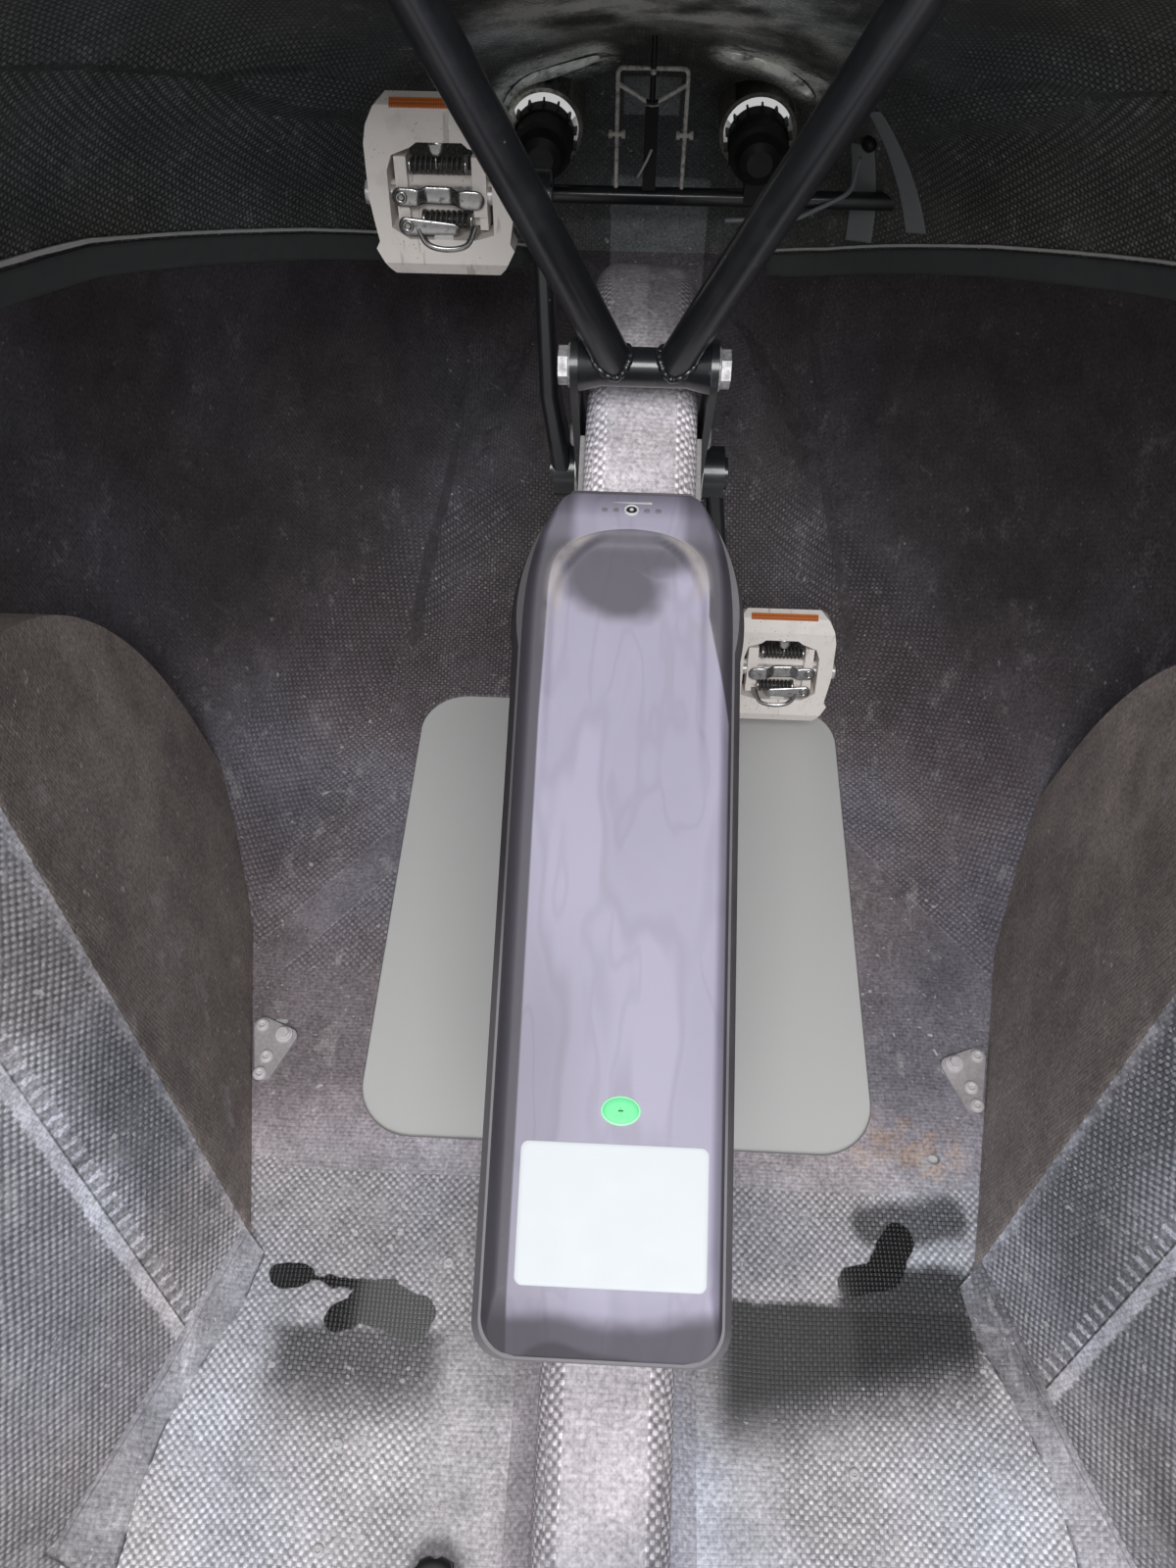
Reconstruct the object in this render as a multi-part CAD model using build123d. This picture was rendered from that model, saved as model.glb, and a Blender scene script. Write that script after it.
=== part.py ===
from build123d import *
import os
from math import atan, atan2, cos, degrees, pi, radians, sin

# Front body section of a velomobile: nose, footwell, wheel arches and pedal drive.
# Millimetres. +X to the rider's right, +Y to the nose, +Z up, origin at the centre of the
# bottom of the bounding box. The floor's underside lies on Z = 0.

os.makedirs("parts", exist_ok=True)

# Main sizes
WALL = 3.0
SECTION_REAR = -560.0
NOSE_TIP = 560.0

# Outer body sections. Columns: station along Y, half width at the seam, seam height,
# half width of the floor, underside height, top height
BODY_SECTIONS = [
    (-560.0, 388.0, 440.0, 284.0, 0.0, 640.0),
    (-440.0, 390.0, 440.0, 284.0, 0.0, 641.0),
    (-320.0, 391.0, 440.0, 282.0, 0.0, 641.0),
    (-200.0, 391.0, 440.0, 278.0, 0.0, 639.0),
    (-80.0, 386.0, 437.0, 270.0, 0.0, 632.0),
    (40.0, 372.0, 427.0, 256.0, 0.0, 614.0),
    (140.0, 351.0, 409.0, 234.0, 0.0, 582.0),
    (230.0, 323.0, 379.0, 202.0, 1.0, 542.0),
    (310.0, 287.0, 341.0, 160.0, 10.0, 498.0),
    (385.0, 241.0, 303.0, 116.0, 38.0, 452.0),
    (450.0, 198.0, 266.0, 78.0, 82.0, 413.0),
    (505.0, 150.0, 231.0, 52.0, 130.0, 371.0),
    (540.0, 103.0, 208.0, 34.0, 160.0, 323.0),
    (560.0, 60.0, 199.0, 20.0, 178.0, 268.0),
]

# Seam between the lower and the upper shell, side view: station along Y, height
SEAM_LINE = [
    (-600.0, 440.0), (-200.0, 440.0), (-80.0, 437.0), (40.0, 427.0), (140.0, 409.0), (230.0, 379.0),
    (310.0, 341.0), (385.0, 303.0), (450.0, 266.0), (505.0, 231.0), (540.0, 208.0), (600.0, 169.0),
]

# Bottom bracket and cranks
BRACKET_Y, BRACKET_Z = 219.0, 239.0
CRANK_LENGTH = 172.5
CRANK_LEAN = 5.0
SPINDLE_RADIUS = 12.0

# Centre tunnel: its top line rises to the front and rounds over about the bracket axis
TUNNEL_Z_AT_ORIGIN = 282.6
TUNNEL_SLOPE = 0.412
TUNNEL_ANGLE = degrees(atan2(TUNNEL_SLOPE, 1.0))
TUNNEL_HALF = 31.0
TUNNEL_WALL = 4.0
TUNNEL_CORNER = 15.0
HUMP_RADIUS = 123.7

# Foot opening in the floor
FOOT_HALF, FOOT_REAR, FOOT_FRONT, FOOT_CORNER = 166.0, -147.0, 222.0, 36.0

# Open bolt hole in the floor
HOLE_X, HOLE_Y, HOLE_RADIUS = 202.0, -146.0, 3.5

# Wheel arches: planes given by the foot corner, the top of the ridge and the foot ends
ARCH_Y, ARCH_Z, ARCH_RADIUS = -165.0, 118.0, 256.0
ARCH_CORNER = (217.0, -213.0, 0.0)
ARCH_RIDGE_TOP = (279.0, -112.0, 333.0)
ARCH_FRONT_FOOT = (249.0, -60.0, 0.0)
ARCH_REAR_FOOT = (276.0, -370.0, 0.0)

# Cockpit opening in the upper shell
COCKPIT_HALF, COCKPIT_FRONT, COCKPIT_CORNER = 262.0, 24.0, 150.0

# Lamps
LAMP_X, LAMP_Z, LAMP_HOLE = 77.0, 331.0, 24.8
SLEEVE_REAR, SLEEVE_WALL = 482.0, 3.0


def section_face(station, half, seam_z, floor_half, floor_z, top_z, inset):
    """One closed body section of a floor line, four side arcs and a deck arc."""
    half -= inset
    floor_z += inset
    top_z -= inset
    floor_half = min(floor_half, half - 4.0)
    shoulder_x = half * 0.70
    shoulder_z = seam_z + (top_z - seam_z) * 0.80
    side_x = floor_half + (half - floor_half) * 0.80
    side_z = floor_z + (seam_z - floor_z) * 0.42
    upper_x = half * 0.915
    upper_z = seam_z + (top_z - seam_z) * 0.47

    def at(x, z):
        return (x, station, z)

    edges = [
        Line(at(-floor_half, floor_z), at(floor_half, floor_z)),
        ThreePointArc(at(floor_half, floor_z), at(side_x, side_z), at(half, seam_z)),
        ThreePointArc(at(half, seam_z), at(upper_x, upper_z), at(shoulder_x, shoulder_z)),
        ThreePointArc(at(shoulder_x, shoulder_z), at(0.0, top_z), at(-shoulder_x, shoulder_z)),
        ThreePointArc(at(-shoulder_x, shoulder_z), at(-upper_x, upper_z), at(-half, seam_z)),
        ThreePointArc(at(-half, seam_z), at(-side_x, side_z), at(-floor_half, floor_z)),
    ]
    return Face(Wire(edges))


def body_volume(inset):
    """The body as one solid, drawn in by the inset and run past its rear trim when inset."""
    faces = []
    for station, half, seam_z, floor_half, floor_z, top_z in BODY_SECTIONS:
        if station == SECTION_REAR and inset > 0.0:
            station -= 20.0
        if station == NOSE_TIP:
            station -= inset
        faces.append(section_face(station, half, seam_z, floor_half, floor_z, top_z, inset))
    return Solid.make_loft([face.outer_wire() for face in faces])


def below_seam():
    """Everything under the seam line, as a prism along X."""
    points = [(y, z) for y, z in SEAM_LINE] + [(600.0, -80.0), (-600.0, -80.0)]
    outline = Plane.YZ * make_face(Polyline(*points, close=True))
    return extrude(outline, 450.0, both=True)


def mirrored(shape):
    """The same shape on the other side of the centre plane."""
    return shape.mirror(Plane.YZ)


def side_plane(a, b, c, outward):
    """Half space beyond the plane through three points, on the side of the outward hint."""
    va, vb, vc = Vector(*a), Vector(*b), Vector(*c)
    normal = (vb - va).cross(vc - va).normalized()
    if normal.dot(Vector(*outward)) < 0:
        normal = normal * -1
    plane = Plane(origin=va, z_dir=normal)
    return plane * extrude(Rectangle(2400.0, 2400.0), 900.0)


def well_volume(inset):
    """Wheel well on the right, drawn in by the inset towards the wheel."""
    axis = Plane(origin=(150.0, ARCH_Y, ARCH_Z), x_dir=(0, 1, 0), z_dir=(1, 0, 0))
    drum = axis * extrude(Circle(ARCH_RADIUS - inset), 300.0)
    skirt = Pos(300.0, ARCH_Y, ARCH_Z / 2 - 100.0)
    skirt = skirt * Box(300.0, 2 * (ARCH_RADIUS - inset), ARCH_Z + 200.0)
    well = drum + skirt
    front = side_plane(ARCH_CORNER, ARCH_RIDGE_TOP, ARCH_FRONT_FOOT, (1, 0, 0))
    rear = side_plane(ARCH_CORNER, ARCH_RIDGE_TOP, ARCH_REAR_FOOT, (1, 0, 0))
    well = well & (Pos(inset, 0, 0) * front) & (Pos(inset, 0, 0) * rear)
    return well


def tunnel_top(y):
    """Height of the tunnel's top line."""
    return TUNNEL_Z_AT_ORIGIN + TUNNEL_SLOPE * y


def tunnel_volume(inset):
    """The tunnel as one solid, drawn in by the inset."""
    angle = radians(TUNNEL_ANGLE)
    radius = HUMP_RADIUS - inset
    touch = (BRACKET_Y - radius * sin(angle), BRACKET_Z + radius * cos(angle))
    middle_angle = radians(90.0 + TUNNEL_ANGLE) / 2
    middle = (BRACKET_Y + radius * cos(middle_angle), BRACKET_Z + radius * sin(middle_angle))
    front = (BRACKET_Y + radius, BRACKET_Z)
    rear_y = SECTION_REAR - (20.0 if inset else 0.0)
    rear_z = tunnel_top(rear_y) - inset / cos(angle)
    outline = Wire([
        Line((rear_y, -20.0), (rear_y, rear_z)),
        Line((rear_y, rear_z), touch),
        ThreePointArc(touch, middle, front),
        Line(front, (front[0], -20.0)),
        Line((front[0], -20.0), (rear_y, -20.0)),
    ])
    body = extrude(Plane.YZ * Face(outline), TUNNEL_HALF - inset, both=True)
    corner = TUNNEL_CORNER - inset
    edges = []
    for edge in body.edges():
        box = edge.bounding_box()
        if box.max.X - box.min.X < 1e-3 and box.min.Z > -15.0 and box.max.Y - box.min.Y > 5.0:
            edges.append(edge)
    return fillet(edges, corner)


def rounded_rectangle(half, rear, front, corner, z0, z1):
    """Upright prism with rounded plan corners, centred on the centre plane."""
    plan = RectangleRounded(2 * half, front - rear, corner)
    return Pos(0, (front + rear) / 2, z0) * extrude(plan, z1 - z0)


def rod(start, end, radius):
    """Round bar between two points."""
    a, b = Vector(*start), Vector(*end)
    plane = Plane(origin=a, z_dir=(b - a).normalized())
    return plane * extrude(Circle(radius), (b - a).length)


def disc(x0, x1, y, z, radius):
    """Round piece about an axis along X."""
    plane = Plane(origin=(x0, y, z), x_dir=(0, 1, 0), z_dir=(1, 0, 0))
    return plane * extrude(Circle(radius), x1 - x0)


def hexagon(x0, x1, y, z, across):
    """Bolt head about an axis along X."""
    plane = Plane(origin=(x0, y, z), x_dir=(0, 1, 0), z_dir=(1, 0, 0))
    return plane * extrude(RegularPolygon(across / 2, 6, major_radius=False), x1 - x0)


def save(name, shape):
    """Writes one node."""
    if isinstance(shape, (list, ShapeList)):
        shape = Compound(children=list(shape))
    export_step(shape, f"parts/{name}.step")
    solids = shape.solids()
    print(name, len(solids), "solids", round(sum(s.volume for s in solids) / 1000.0, 1), "cm3")


# Shells
outer = body_volume(0.0)
inner = body_volume(WALL)
skin = outer - inner
lower_half = below_seam()
lower = skin & lower_half
upper = skin - lower_half

well = well_volume(0.0)
well_left = mirrored(well)
lower = lower - well - well_left
lower = lower - rounded_rectangle(FOOT_HALF, FOOT_REAR, FOOT_FRONT, FOOT_CORNER, -20.0, 40.0)
lower = lower - Pos(HOLE_X, HOLE_Y, -10.0) * extrude(Circle(HOLE_RADIUS), 30.0)
save("lower_shell", lower)

cockpit = rounded_rectangle(
    COCKPIT_HALF, SECTION_REAR - 400.0, COCKPIT_FRONT, COCKPIT_CORNER, 460.0, 700.0)
upper = upper - cockpit
for side in (-1, 1):
    axis = Plane(origin=(side * LAMP_X, SLEEVE_REAR, LAMP_Z), z_dir=(0, 1, 0))
    sleeve = axis * extrude(Circle(LAMP_HOLE + SLEEVE_WALL), 120.0) & outer
    upper = upper + sleeve
    upper = upper - axis * extrude(Circle(LAMP_HOLE), 200.0)
save("upper_shell", upper)

arch = (well - well_volume(WALL)) & outer
save("wheel_arch_right", arch)
save("wheel_arch_left", mirrored(arch))

# Centre tunnel
FLARE_WIDE, FLARE_TALL = 20.0, 24.0
tunnel = tunnel_volume(0.0) - tunnel_volume(TUNNEL_WALL)
for side in (-1, 1):
    root, toe = side * (TUNNEL_HALF - 2.0), side * (TUNNEL_HALF + FLARE_WIDE)
    wedge = make_face(Polyline(
        (root, 0.0), (toe, 0.0), (toe, WALL + 2.0), (side * (TUNNEL_HALF + 6.0), WALL + 9.0),
        (side * TUNNEL_HALF, WALL + FLARE_TALL), (root, WALL + FLARE_TALL), close=True))
    tunnel = tunnel + Pos(0, FOOT_REAR, 0) * extrude(Plane.XZ * wedge, FOOT_REAR - SECTION_REAR)
tunnel = tunnel & inner
for side in (-1, 1):
    tunnel = tunnel - disc(side * 40.0 - 10.0, side * 40.0 + 10.0, BRACKET_Y, BRACKET_Z, 24.0)
    tunnel = tunnel - disc(side * 30.0 - 10.0, side * 30.0 + 10.0, BRACKET_Y, BRACKET_Z, 24.0)
save("centre_tunnel", tunnel)

# Aluminium rails on the tunnel's sides, which the bracket plates clamp
RAIL_THICK, RAIL_TALL, RAIL_DROP = 3.0, 22.0, 20.0
RAIL_REAR_S, RAIL_FRONT_S = -120.0, 150.0
incline = Plane(origin=(0, 0, TUNNEL_Z_AT_ORIGIN), x_dir=(1, 0, 0),
                z_dir=(0, -sin(radians(TUNNEL_ANGLE)), cos(radians(TUNNEL_ANGLE))))


def on_incline(x, s, n):
    """Point given across, along and above the tunnel's top line."""
    return incline.from_local_coords(Vector(x, s, n))


def incline_box(x0, x1, s0, s1, n0, n1):
    """Box in the tunnel's inclined directions."""
    box = Pos((x0 + x1) / 2, (s0 + s1) / 2, (n0 + n1) / 2) * Box(x1 - x0, s1 - s0, n1 - n0)
    return incline * box


def rail(x0, x1):
    """One flat bar along a tunnel side."""
    return incline_box(x0, x1, RAIL_REAR_S, RAIL_FRONT_S, -RAIL_DROP - RAIL_TALL, -RAIL_DROP)


rail_right = rail(TUNNEL_HALF, TUNNEL_HALF + RAIL_THICK)
save("rail_right", rail_right)
save("rail_left", mirrored(rail_right))

# Bracket plates: a lobe at the cross tube, one at the clamp bolt and one at the bearing
CROSS_Y, CROSS_Z, CROSS_RADIUS = 135.0, 374.0, 10.0
CLAMP_Y, CLAMP_Z = 174.0, 301.0
PLATE_X0, PLATE_X1 = 34.0, 38.0
BEARING_RADIUS, BEARING_X0, BEARING_X1 = 21.0, 29.0, 41.0
BOLT_HEAD = 6.5


def lobe_plate(x0, x1, lobes):
    """Plate whose outline wraps round lobes of given centre and radius."""
    plane = Plane(origin=(x0, 0, 0), x_dir=(0, 1, 0), z_dir=(1, 0, 0))
    edges = []
    circles = [Pos(y, z) * Circle(radius) for y, z, radius in lobes]
    for circle in circles:
        edges += circle.edges()
    outline = make_hull(edges)
    return plane * extrude(outline, x1 - x0)


plate_upper = lobe_plate(PLATE_X0, PLATE_X1, [(CROSS_Y, CROSS_Z, 15.0), (CLAMP_Y, CLAMP_Z, 17.0)])
plate_lower = lobe_plate(PLATE_X0, PLATE_X1, [(CLAMP_Y, CLAMP_Z, 17.0), (BRACKET_Y, BRACKET_Z, 30.0)])
plate = plate_upper + plate_lower
plate = plate - disc(30.0, 50.0, BRACKET_Y, BRACKET_Z, BEARING_RADIUS)
save("bracket_plate_right", plate)
save("bracket_plate_left", mirrored(plate))

# Bearing cups in the plates
bearing = disc(BEARING_X0, BEARING_X1, BRACKET_Y, BRACKET_Z, BEARING_RADIUS)
bearing = bearing - disc(0.0, 80.0, BRACKET_Y, BRACKET_Z, SPINDLE_RADIUS + 0.05)
save("bearing_right", bearing)
save("bearing_left", mirrored(bearing))

# Bolts: hexagon heads at the cross tube, domed heads at the clamp
for name, side in (("left", -1), ("right", 1)):
    head = hexagon(PLATE_X1, PLATE_X1 + BOLT_HEAD, CROSS_Y, CROSS_Z, 17.0)
    dome = disc(PLATE_X1, PLATE_X1 + 3.5, CLAMP_Y, CLAMP_Z, 7.0)
    dome = fillet(dome.edges().sort_by(Axis.X)[-1], 3.0)
    bolts = [head, dome]
    if side < 0:
        bolts = [mirrored(shape) for shape in bolts]
    save(f"bracket_bolts_{name}", bolts)

# Welded V frame: cross tube with flared ends, two struts and a foot plate at each top
STRUT_RADIUS = 9.5
STRUT_LOW = (14.0, 135.0, 374.0)
STRUT_HIGH = (99.0, 58.0, 597.0)
FOOT_Z = 598.0
FOOT_ACROSS, FOOT_ALONG, FOOT_TALL = 38.0, 52.0, 40.0
DECK_TILT_X, DECK_TILT_Y = -17.0, 6.0


def v_frame():
    """Cross tube and struts as one welded piece."""
    frame = disc(-PLATE_X0, PLATE_X0, CROSS_Y, CROSS_Z, CROSS_RADIUS)
    for side in (-1, 1):
        flare_plane = Plane(origin=(side * 22.0, CROSS_Y, CROSS_Z), x_dir=(0, 1, 0), z_dir=(side, 0, 0))
        flare = flare_plane * extrude(Circle(CROSS_RADIUS), 12.0, taper=-14.0)
        low = (side * STRUT_LOW[0], STRUT_LOW[1], STRUT_LOW[2])
        high = (side * STRUT_HIGH[0], STRUT_HIGH[1], STRUT_HIGH[2])
        foot_place = Pos(side * (STRUT_HIGH[0] + 4.0), STRUT_HIGH[1] - 4.0, FOOT_Z)
        foot_place = foot_place * Rot(DECK_TILT_X, side * DECK_TILT_Y, 0)
        foot = foot_place * Pos(0, 0, FOOT_TALL / 2) * Box(FOOT_ACROSS, FOOT_ALONG, FOOT_TALL)
        frame = frame + flare + rod(low, high, STRUT_RADIUS) + foot
    return frame


save("v_frame", v_frame() & inner)

# Chainring inside the tunnel
RING_TEETH, RING_PITCH, RING_THICK = 50, 12.7, 2.4


def chainring():
    """Toothed ring on its spider: each tooth gap is a roller-sized round."""
    pitch_radius = RING_TEETH * RING_PITCH / 2 / pi
    ring = Circle(pitch_radius + 3.2) - Circle(62.0)
    gap = Pos(pitch_radius, 0) * Circle(4.4)
    ring = ring - [Rot(0, 0, 360.0 / RING_TEETH * i) * gap for i in range(RING_TEETH)]
    arm = Pos(42.0, 0) * Rectangle(52.0, 15.0)
    spider = Circle(22.0) + [Rot(0, 0, 72.0 * i) * arm for i in range(5)]
    shape = ring + spider - Circle(SPINDLE_RADIUS)
    plane = Plane(origin=(-RING_THICK / 2, BRACKET_Y, BRACKET_Z), x_dir=(0, 1, 0), z_dir=(1, 0, 0))
    return plane * extrude(shape, RING_THICK)


save("chainring", chainring())

# Spindle and cranks
spindle = disc(-57.5, 57.5, BRACKET_Y, BRACKET_Z, SPINDLE_RADIUS - 2.0)
spindle = spindle + disc(-55.0, 55.0, BRACKET_Y, BRACKET_Z, SPINDLE_RADIUS)
save("spindle", spindle)

CRANK_HUB_X0, CRANK_HUB_X1, CRANK_HUB_RADIUS = 41.5, 55.0, 17.0
CRANK_END_X0, CRANK_END_X1, CRANK_END_RADIUS = 54.0, 65.0, 13.0
PEDAL_X = 112.5
AXLE_RADIUS = 4.5


def crank_arm():
    """Right crank drawn pointing up: hub, outward-set tapered arm, pedal eye."""
    base = Plane(origin=(0, BRACKET_Y, BRACKET_Z), x_dir=(1, 0, 0), z_dir=(0, 0, 1))
    sections = []
    for height, x_mid, wide, deep in ((0.0, 48.5, 12.0, 31.0), (58.0, 57.0, 11.0, 25.0),
                                      (CRANK_LENGTH, 59.5, 10.0, 20.0)):
        sections.append(base.offset(height) * (Pos(x_mid, 0) * RectangleRounded(wide, deep, 3.5)))
    arm = loft(sections, ruled=True)
    arm = arm + disc(CRANK_HUB_X0, CRANK_HUB_X1, BRACKET_Y, BRACKET_Z, CRANK_HUB_RADIUS)
    arm = arm + disc(CRANK_END_X0, CRANK_END_X1, BRACKET_Y, BRACKET_Z + CRANK_LENGTH, CRANK_END_RADIUS)
    arm = arm - disc(0.0, 80.0, BRACKET_Y, BRACKET_Z, SPINDLE_RADIUS)
    arm = arm - disc(40.0, 80.0, BRACKET_Y, BRACKET_Z + CRANK_LENGTH, AXLE_RADIUS + 2.5)
    return arm


bracket_axis = Axis((0, BRACKET_Y, BRACKET_Z), (1, 0, 0))
arm_up = crank_arm()
crank_left = mirrored(arm_up).rotate(bracket_axis, -CRANK_LEAN)
crank_right = arm_up.rotate(bracket_axis, 180.0 - CRANK_LEAN)
save("crank_left", crank_left)
save("crank_right", crank_right)

lean = radians(CRANK_LEAN)
PEDAL_LEFT_YZ = (BRACKET_Y + CRANK_LENGTH * sin(lean), BRACKET_Z + CRANK_LENGTH * cos(lean))
PEDAL_RIGHT_YZ = (BRACKET_Y - CRANK_LENGTH * sin(lean), BRACKET_Z - CRANK_LENGTH * cos(lean))

# Pedal: drawn on its own plane. Across (outward), up (to the reflector), out (to the rider)
PEDAL_TILT = {-1: 10.0, 1: 22.0}
PEDAL_HALF_OUTLINE = [
    (27.0, 49.5), (33.5, 43.5), (37.5, 36.0), (39.5, 27.0), (39.5, 0.0), (38.0, -11.0), (36.2, -22.5),
    (38.5, -26.5), (33.0, -37.0), (28.0, -43.0),
]
PEDAL_SIDE_HALF = [
    (-43.0, 0.0), (-41.0, 5.0), (-34.0, 9.4), (0.0, 10.0), (34.0, 9.6), (44.5, 6.2), (49.5, 0.0),
]
REFLECTOR_UP, REFLECTOR_OUT, REFLECTOR_TURN = 44.6, 4.6, 42.0
REFLECTOR_WIDE, REFLECTOR_TALL = 49.0, 4.8
PEDAL_WELL = [
    (28.5, -15.0), (28.5, 14.0), (25.5, 21.5), (15.0, 25.5), (11.5, 28.0), (-12.5, 28.0), (-15.5, 25.5),
    (-25.0, 22.5), (-27.5, 14.0), (-27.5, -18.0), (-17.0, -21.0), (19.0, -21.0),
]
# Blocks of the cradle inside the well. Columns: across from, to, up from, to, out from, to
CRADLE_BLOCKS = [
    (-24.0, 25.0, -16.0, 9.5, -9.0, 0.0),
    (18.5, 25.0, -14.0, 20.0, -9.0, 6.0),
    (-24.0, -16.5, -10.0, 20.0, -9.0, 6.0),
    (-24.0, -19.5, -17.0, -10.0, -9.0, 4.5),
    (-5.0, 6.0, -21.5, -17.0, -6.0, 5.0),
]
SPRING_RADIUS = 4.6
# Springs. Columns: across from, to, height, distance out, number of coils
SPRINGS = [(-12.5, 15.5, 15.8, 4.0, 10), (-14.0, 10.0, -11.8, 4.0, 8)]
CLIP_THICK = 2.2
CLIP_OUT, LOWER_CLIP_OUT = 6.4, 9.2


def pedal_box(x0, x1, y0, y1, z0, z1):
    """Box between limits on the pedal's plane."""
    return Pos((x0 + x1) / 2, (y0 + y1) / 2, (z0 + z1) / 2) * Box(x1 - x0, y1 - y0, z1 - z0)


def cross_disc(x0, x1, y, z, radius):
    """Round piece about an axis across the pedal."""
    return Plane(origin=(x0, y, z), x_dir=(0, 1, 0), z_dir=(1, 0, 0)) * extrude(Circle(radius), x1 - x0)


def pedal_body(binding):
    """Resin platform with bullnose ends, its well, cradle and bore, cut free of its binding."""
    outline = PEDAL_HALF_OUTLINE + [(-x, y) for x, y in reversed(PEDAL_HALF_OUTLINE)]
    plan = extrude(make_face(Polyline(*outline, close=True)), 15.0, both=True)
    front = PEDAL_SIDE_HALF
    back = [(y, -z) for y, z in reversed(PEDAL_SIDE_HALF[1:-1])]
    side_face = make_face(Polyline(*front, *back, close=True))
    sheet = Plane(origin=(-50, 0, 0), x_dir=(0, 1, 0), z_dir=(1, 0, 0)) * extrude(side_face, 100.0)
    body = plan & sheet
    body = body - extrude(make_face(Polyline(*PEDAL_WELL, close=True)), 30.0, both=True)
    body = body + cross_disc(-33.0, 33.0, 0.0, -3.0, 6.0)
    for block in CRADLE_BLOCKS:
        body = body + pedal_box(*block)
    body = body - cross_disc(-60.0, 60.0, 0.0, 0.0, AXLE_RADIUS + 0.05)
    for x0, x1, y, z, coils in SPRINGS:
        body = body - cross_disc(x0 - 2.0, x1 + 2.0, y, z, SPRING_RADIUS + 0.6)
    for piece in binding:
        body = body - piece
    return body - reflector_strip(4.0)


def reflector_strip(tall):
    """Strip across the upper bullnose, of the given thickness."""
    place = Pos(0, REFLECTOR_UP, REFLECTOR_OUT) * Rot(-REFLECTOR_TURN, 0, 0)
    return place * Pos(0, 0, tall / 2 + 0.4) * Box(REFLECTOR_WIDE, REFLECTOR_TALL, tall)


def spring(x0, x1, y, z, coils):
    """Coil spring as a core with one ridge for each turn."""
    pitch = (x1 - x0) / coils
    low = SPRING_RADIUS - 1.0
    points = [(x0, 0.0), (x0, low)]
    for i in range(coils):
        points.append((x0 + (i + 0.5) * pitch, SPRING_RADIUS))
        points.append((x0 + (i + 1.0) * pitch, low))
    points.append((x1, 0.0))
    turned = revolve(make_face(Polyline(*points, close=True)), Axis.X)
    return Pos(0, y, z) * turned


def lobes(points, z0):
    """Flat clip whose outline wraps round lobes of given place and radius."""
    edges = []
    for x, y, radius in points:
        edges += (Pos(x, y) * Circle(radius)).edges()
    return Pos(0, 0, z0) * extrude(make_hull(edges), CLIP_THICK)


def pedal_binding():
    """Tab, upper clip bar, lower clip plate and hoop, and the springs' end discs."""
    tab = pedal_box(-2.2, 5.8, 24.8, 28.0, 5.5, 8.0) + Pos(1.8, 24.8, 5.5) * extrude(Circle(4.0), 2.5)
    pieces = [tab]
    upper_bar = lobes([(22.5, 0.5, 5.0), (-18.0, -0.8, 5.0)], CLIP_OUT)
    upper_bar = upper_bar - pedal_box(-11.0, 14.0, 3.8, 9.0, 0.0, 20.0)
    upper_bar = upper_bar - pedal_box(-11.0, 14.0, -12.0, -4.6, 0.0, 20.0)
    lower_bar = lobes([(19.5, -13.5, 5.0), (-6.0, -15.5, 3.2)], LOWER_CLIP_OUT)
    hoop_points = [(12.5, -15.5, 0), (8.0, -26.5, 0), (-11.0, -26.5, 0), (-16.5, -15.0, 0)]
    hoop_path = FilletPolyline(*hoop_points, radius=3.0)
    hoop_start = Plane(origin=hoop_path @ 0, z_dir=hoop_path % 0, x_dir=(0, 0, 1))
    hoop_section = hoop_start * Rectangle(CLIP_THICK, 3.0)
    hoop = Pos(0, 0, LOWER_CLIP_OUT + CLIP_THICK / 2) * sweep(hoop_section, path=hoop_path)
    post = Pos(21.5, -13.5, CLIP_OUT - 0.4) * extrude(Circle(2.6), LOWER_CLIP_OUT - CLIP_OUT + 0.4)
    pieces += [upper_bar, lower_bar + hoop + post]
    for x0, x1, y, z, coils in SPRINGS:
        pieces += [cross_disc(x1, x1 + 2.0, y, z, 5.0), cross_disc(x0 - 2.0, x0, y, z, 5.0)]
    return pieces


def placed(shape, side, centre):
    """A pedal piece moved from the pedal's plane to its axle, mirrored for the left."""
    tilt = radians(PEDAL_TILT[side])
    plane = Plane(origin=(side * PEDAL_X, centre[0], centre[1]), x_dir=(1, 0, 0),
                  z_dir=(0, -cos(tilt), sin(tilt)))
    if side < 0:
        shape = mirrored(shape)
    return plane * shape


for name, side, centre in (("left", -1, PEDAL_LEFT_YZ), ("right", 1, PEDAL_RIGHT_YZ)):
    binding = pedal_binding()
    save(f"pedal_{name}", placed(pedal_body(binding), side, centre))
    save(f"pedal_reflector_{name}", placed(reflector_strip(1.6), side, centre))
    save(f"pedal_binding_{name}", [placed(shape, side, centre) for shape in binding])
    save(f"pedal_springs_{name}", [placed(spring(*row), side, centre) for row in SPRINGS])
    axle = disc(CRANK_END_X0, PEDAL_X + 41.0, centre[0], centre[1], AXLE_RADIUS)
    axle = axle + disc(CRANK_END_X1, PEDAL_X - 40.0, centre[0], centre[1], AXLE_RADIUS + 2.5)
    axle = axle + disc(PEDAL_X + 40.0, PEDAL_X + 42.5, centre[0], centre[1], AXLE_RADIUS + 1.5)
    if side < 0:
        axle = mirrored(axle)
    save(f"pedal_axle_{name}", axle)

# Battery on the tunnel: base, case, lid and button, drawn along the incline
CASE_X = -3.8
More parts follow.
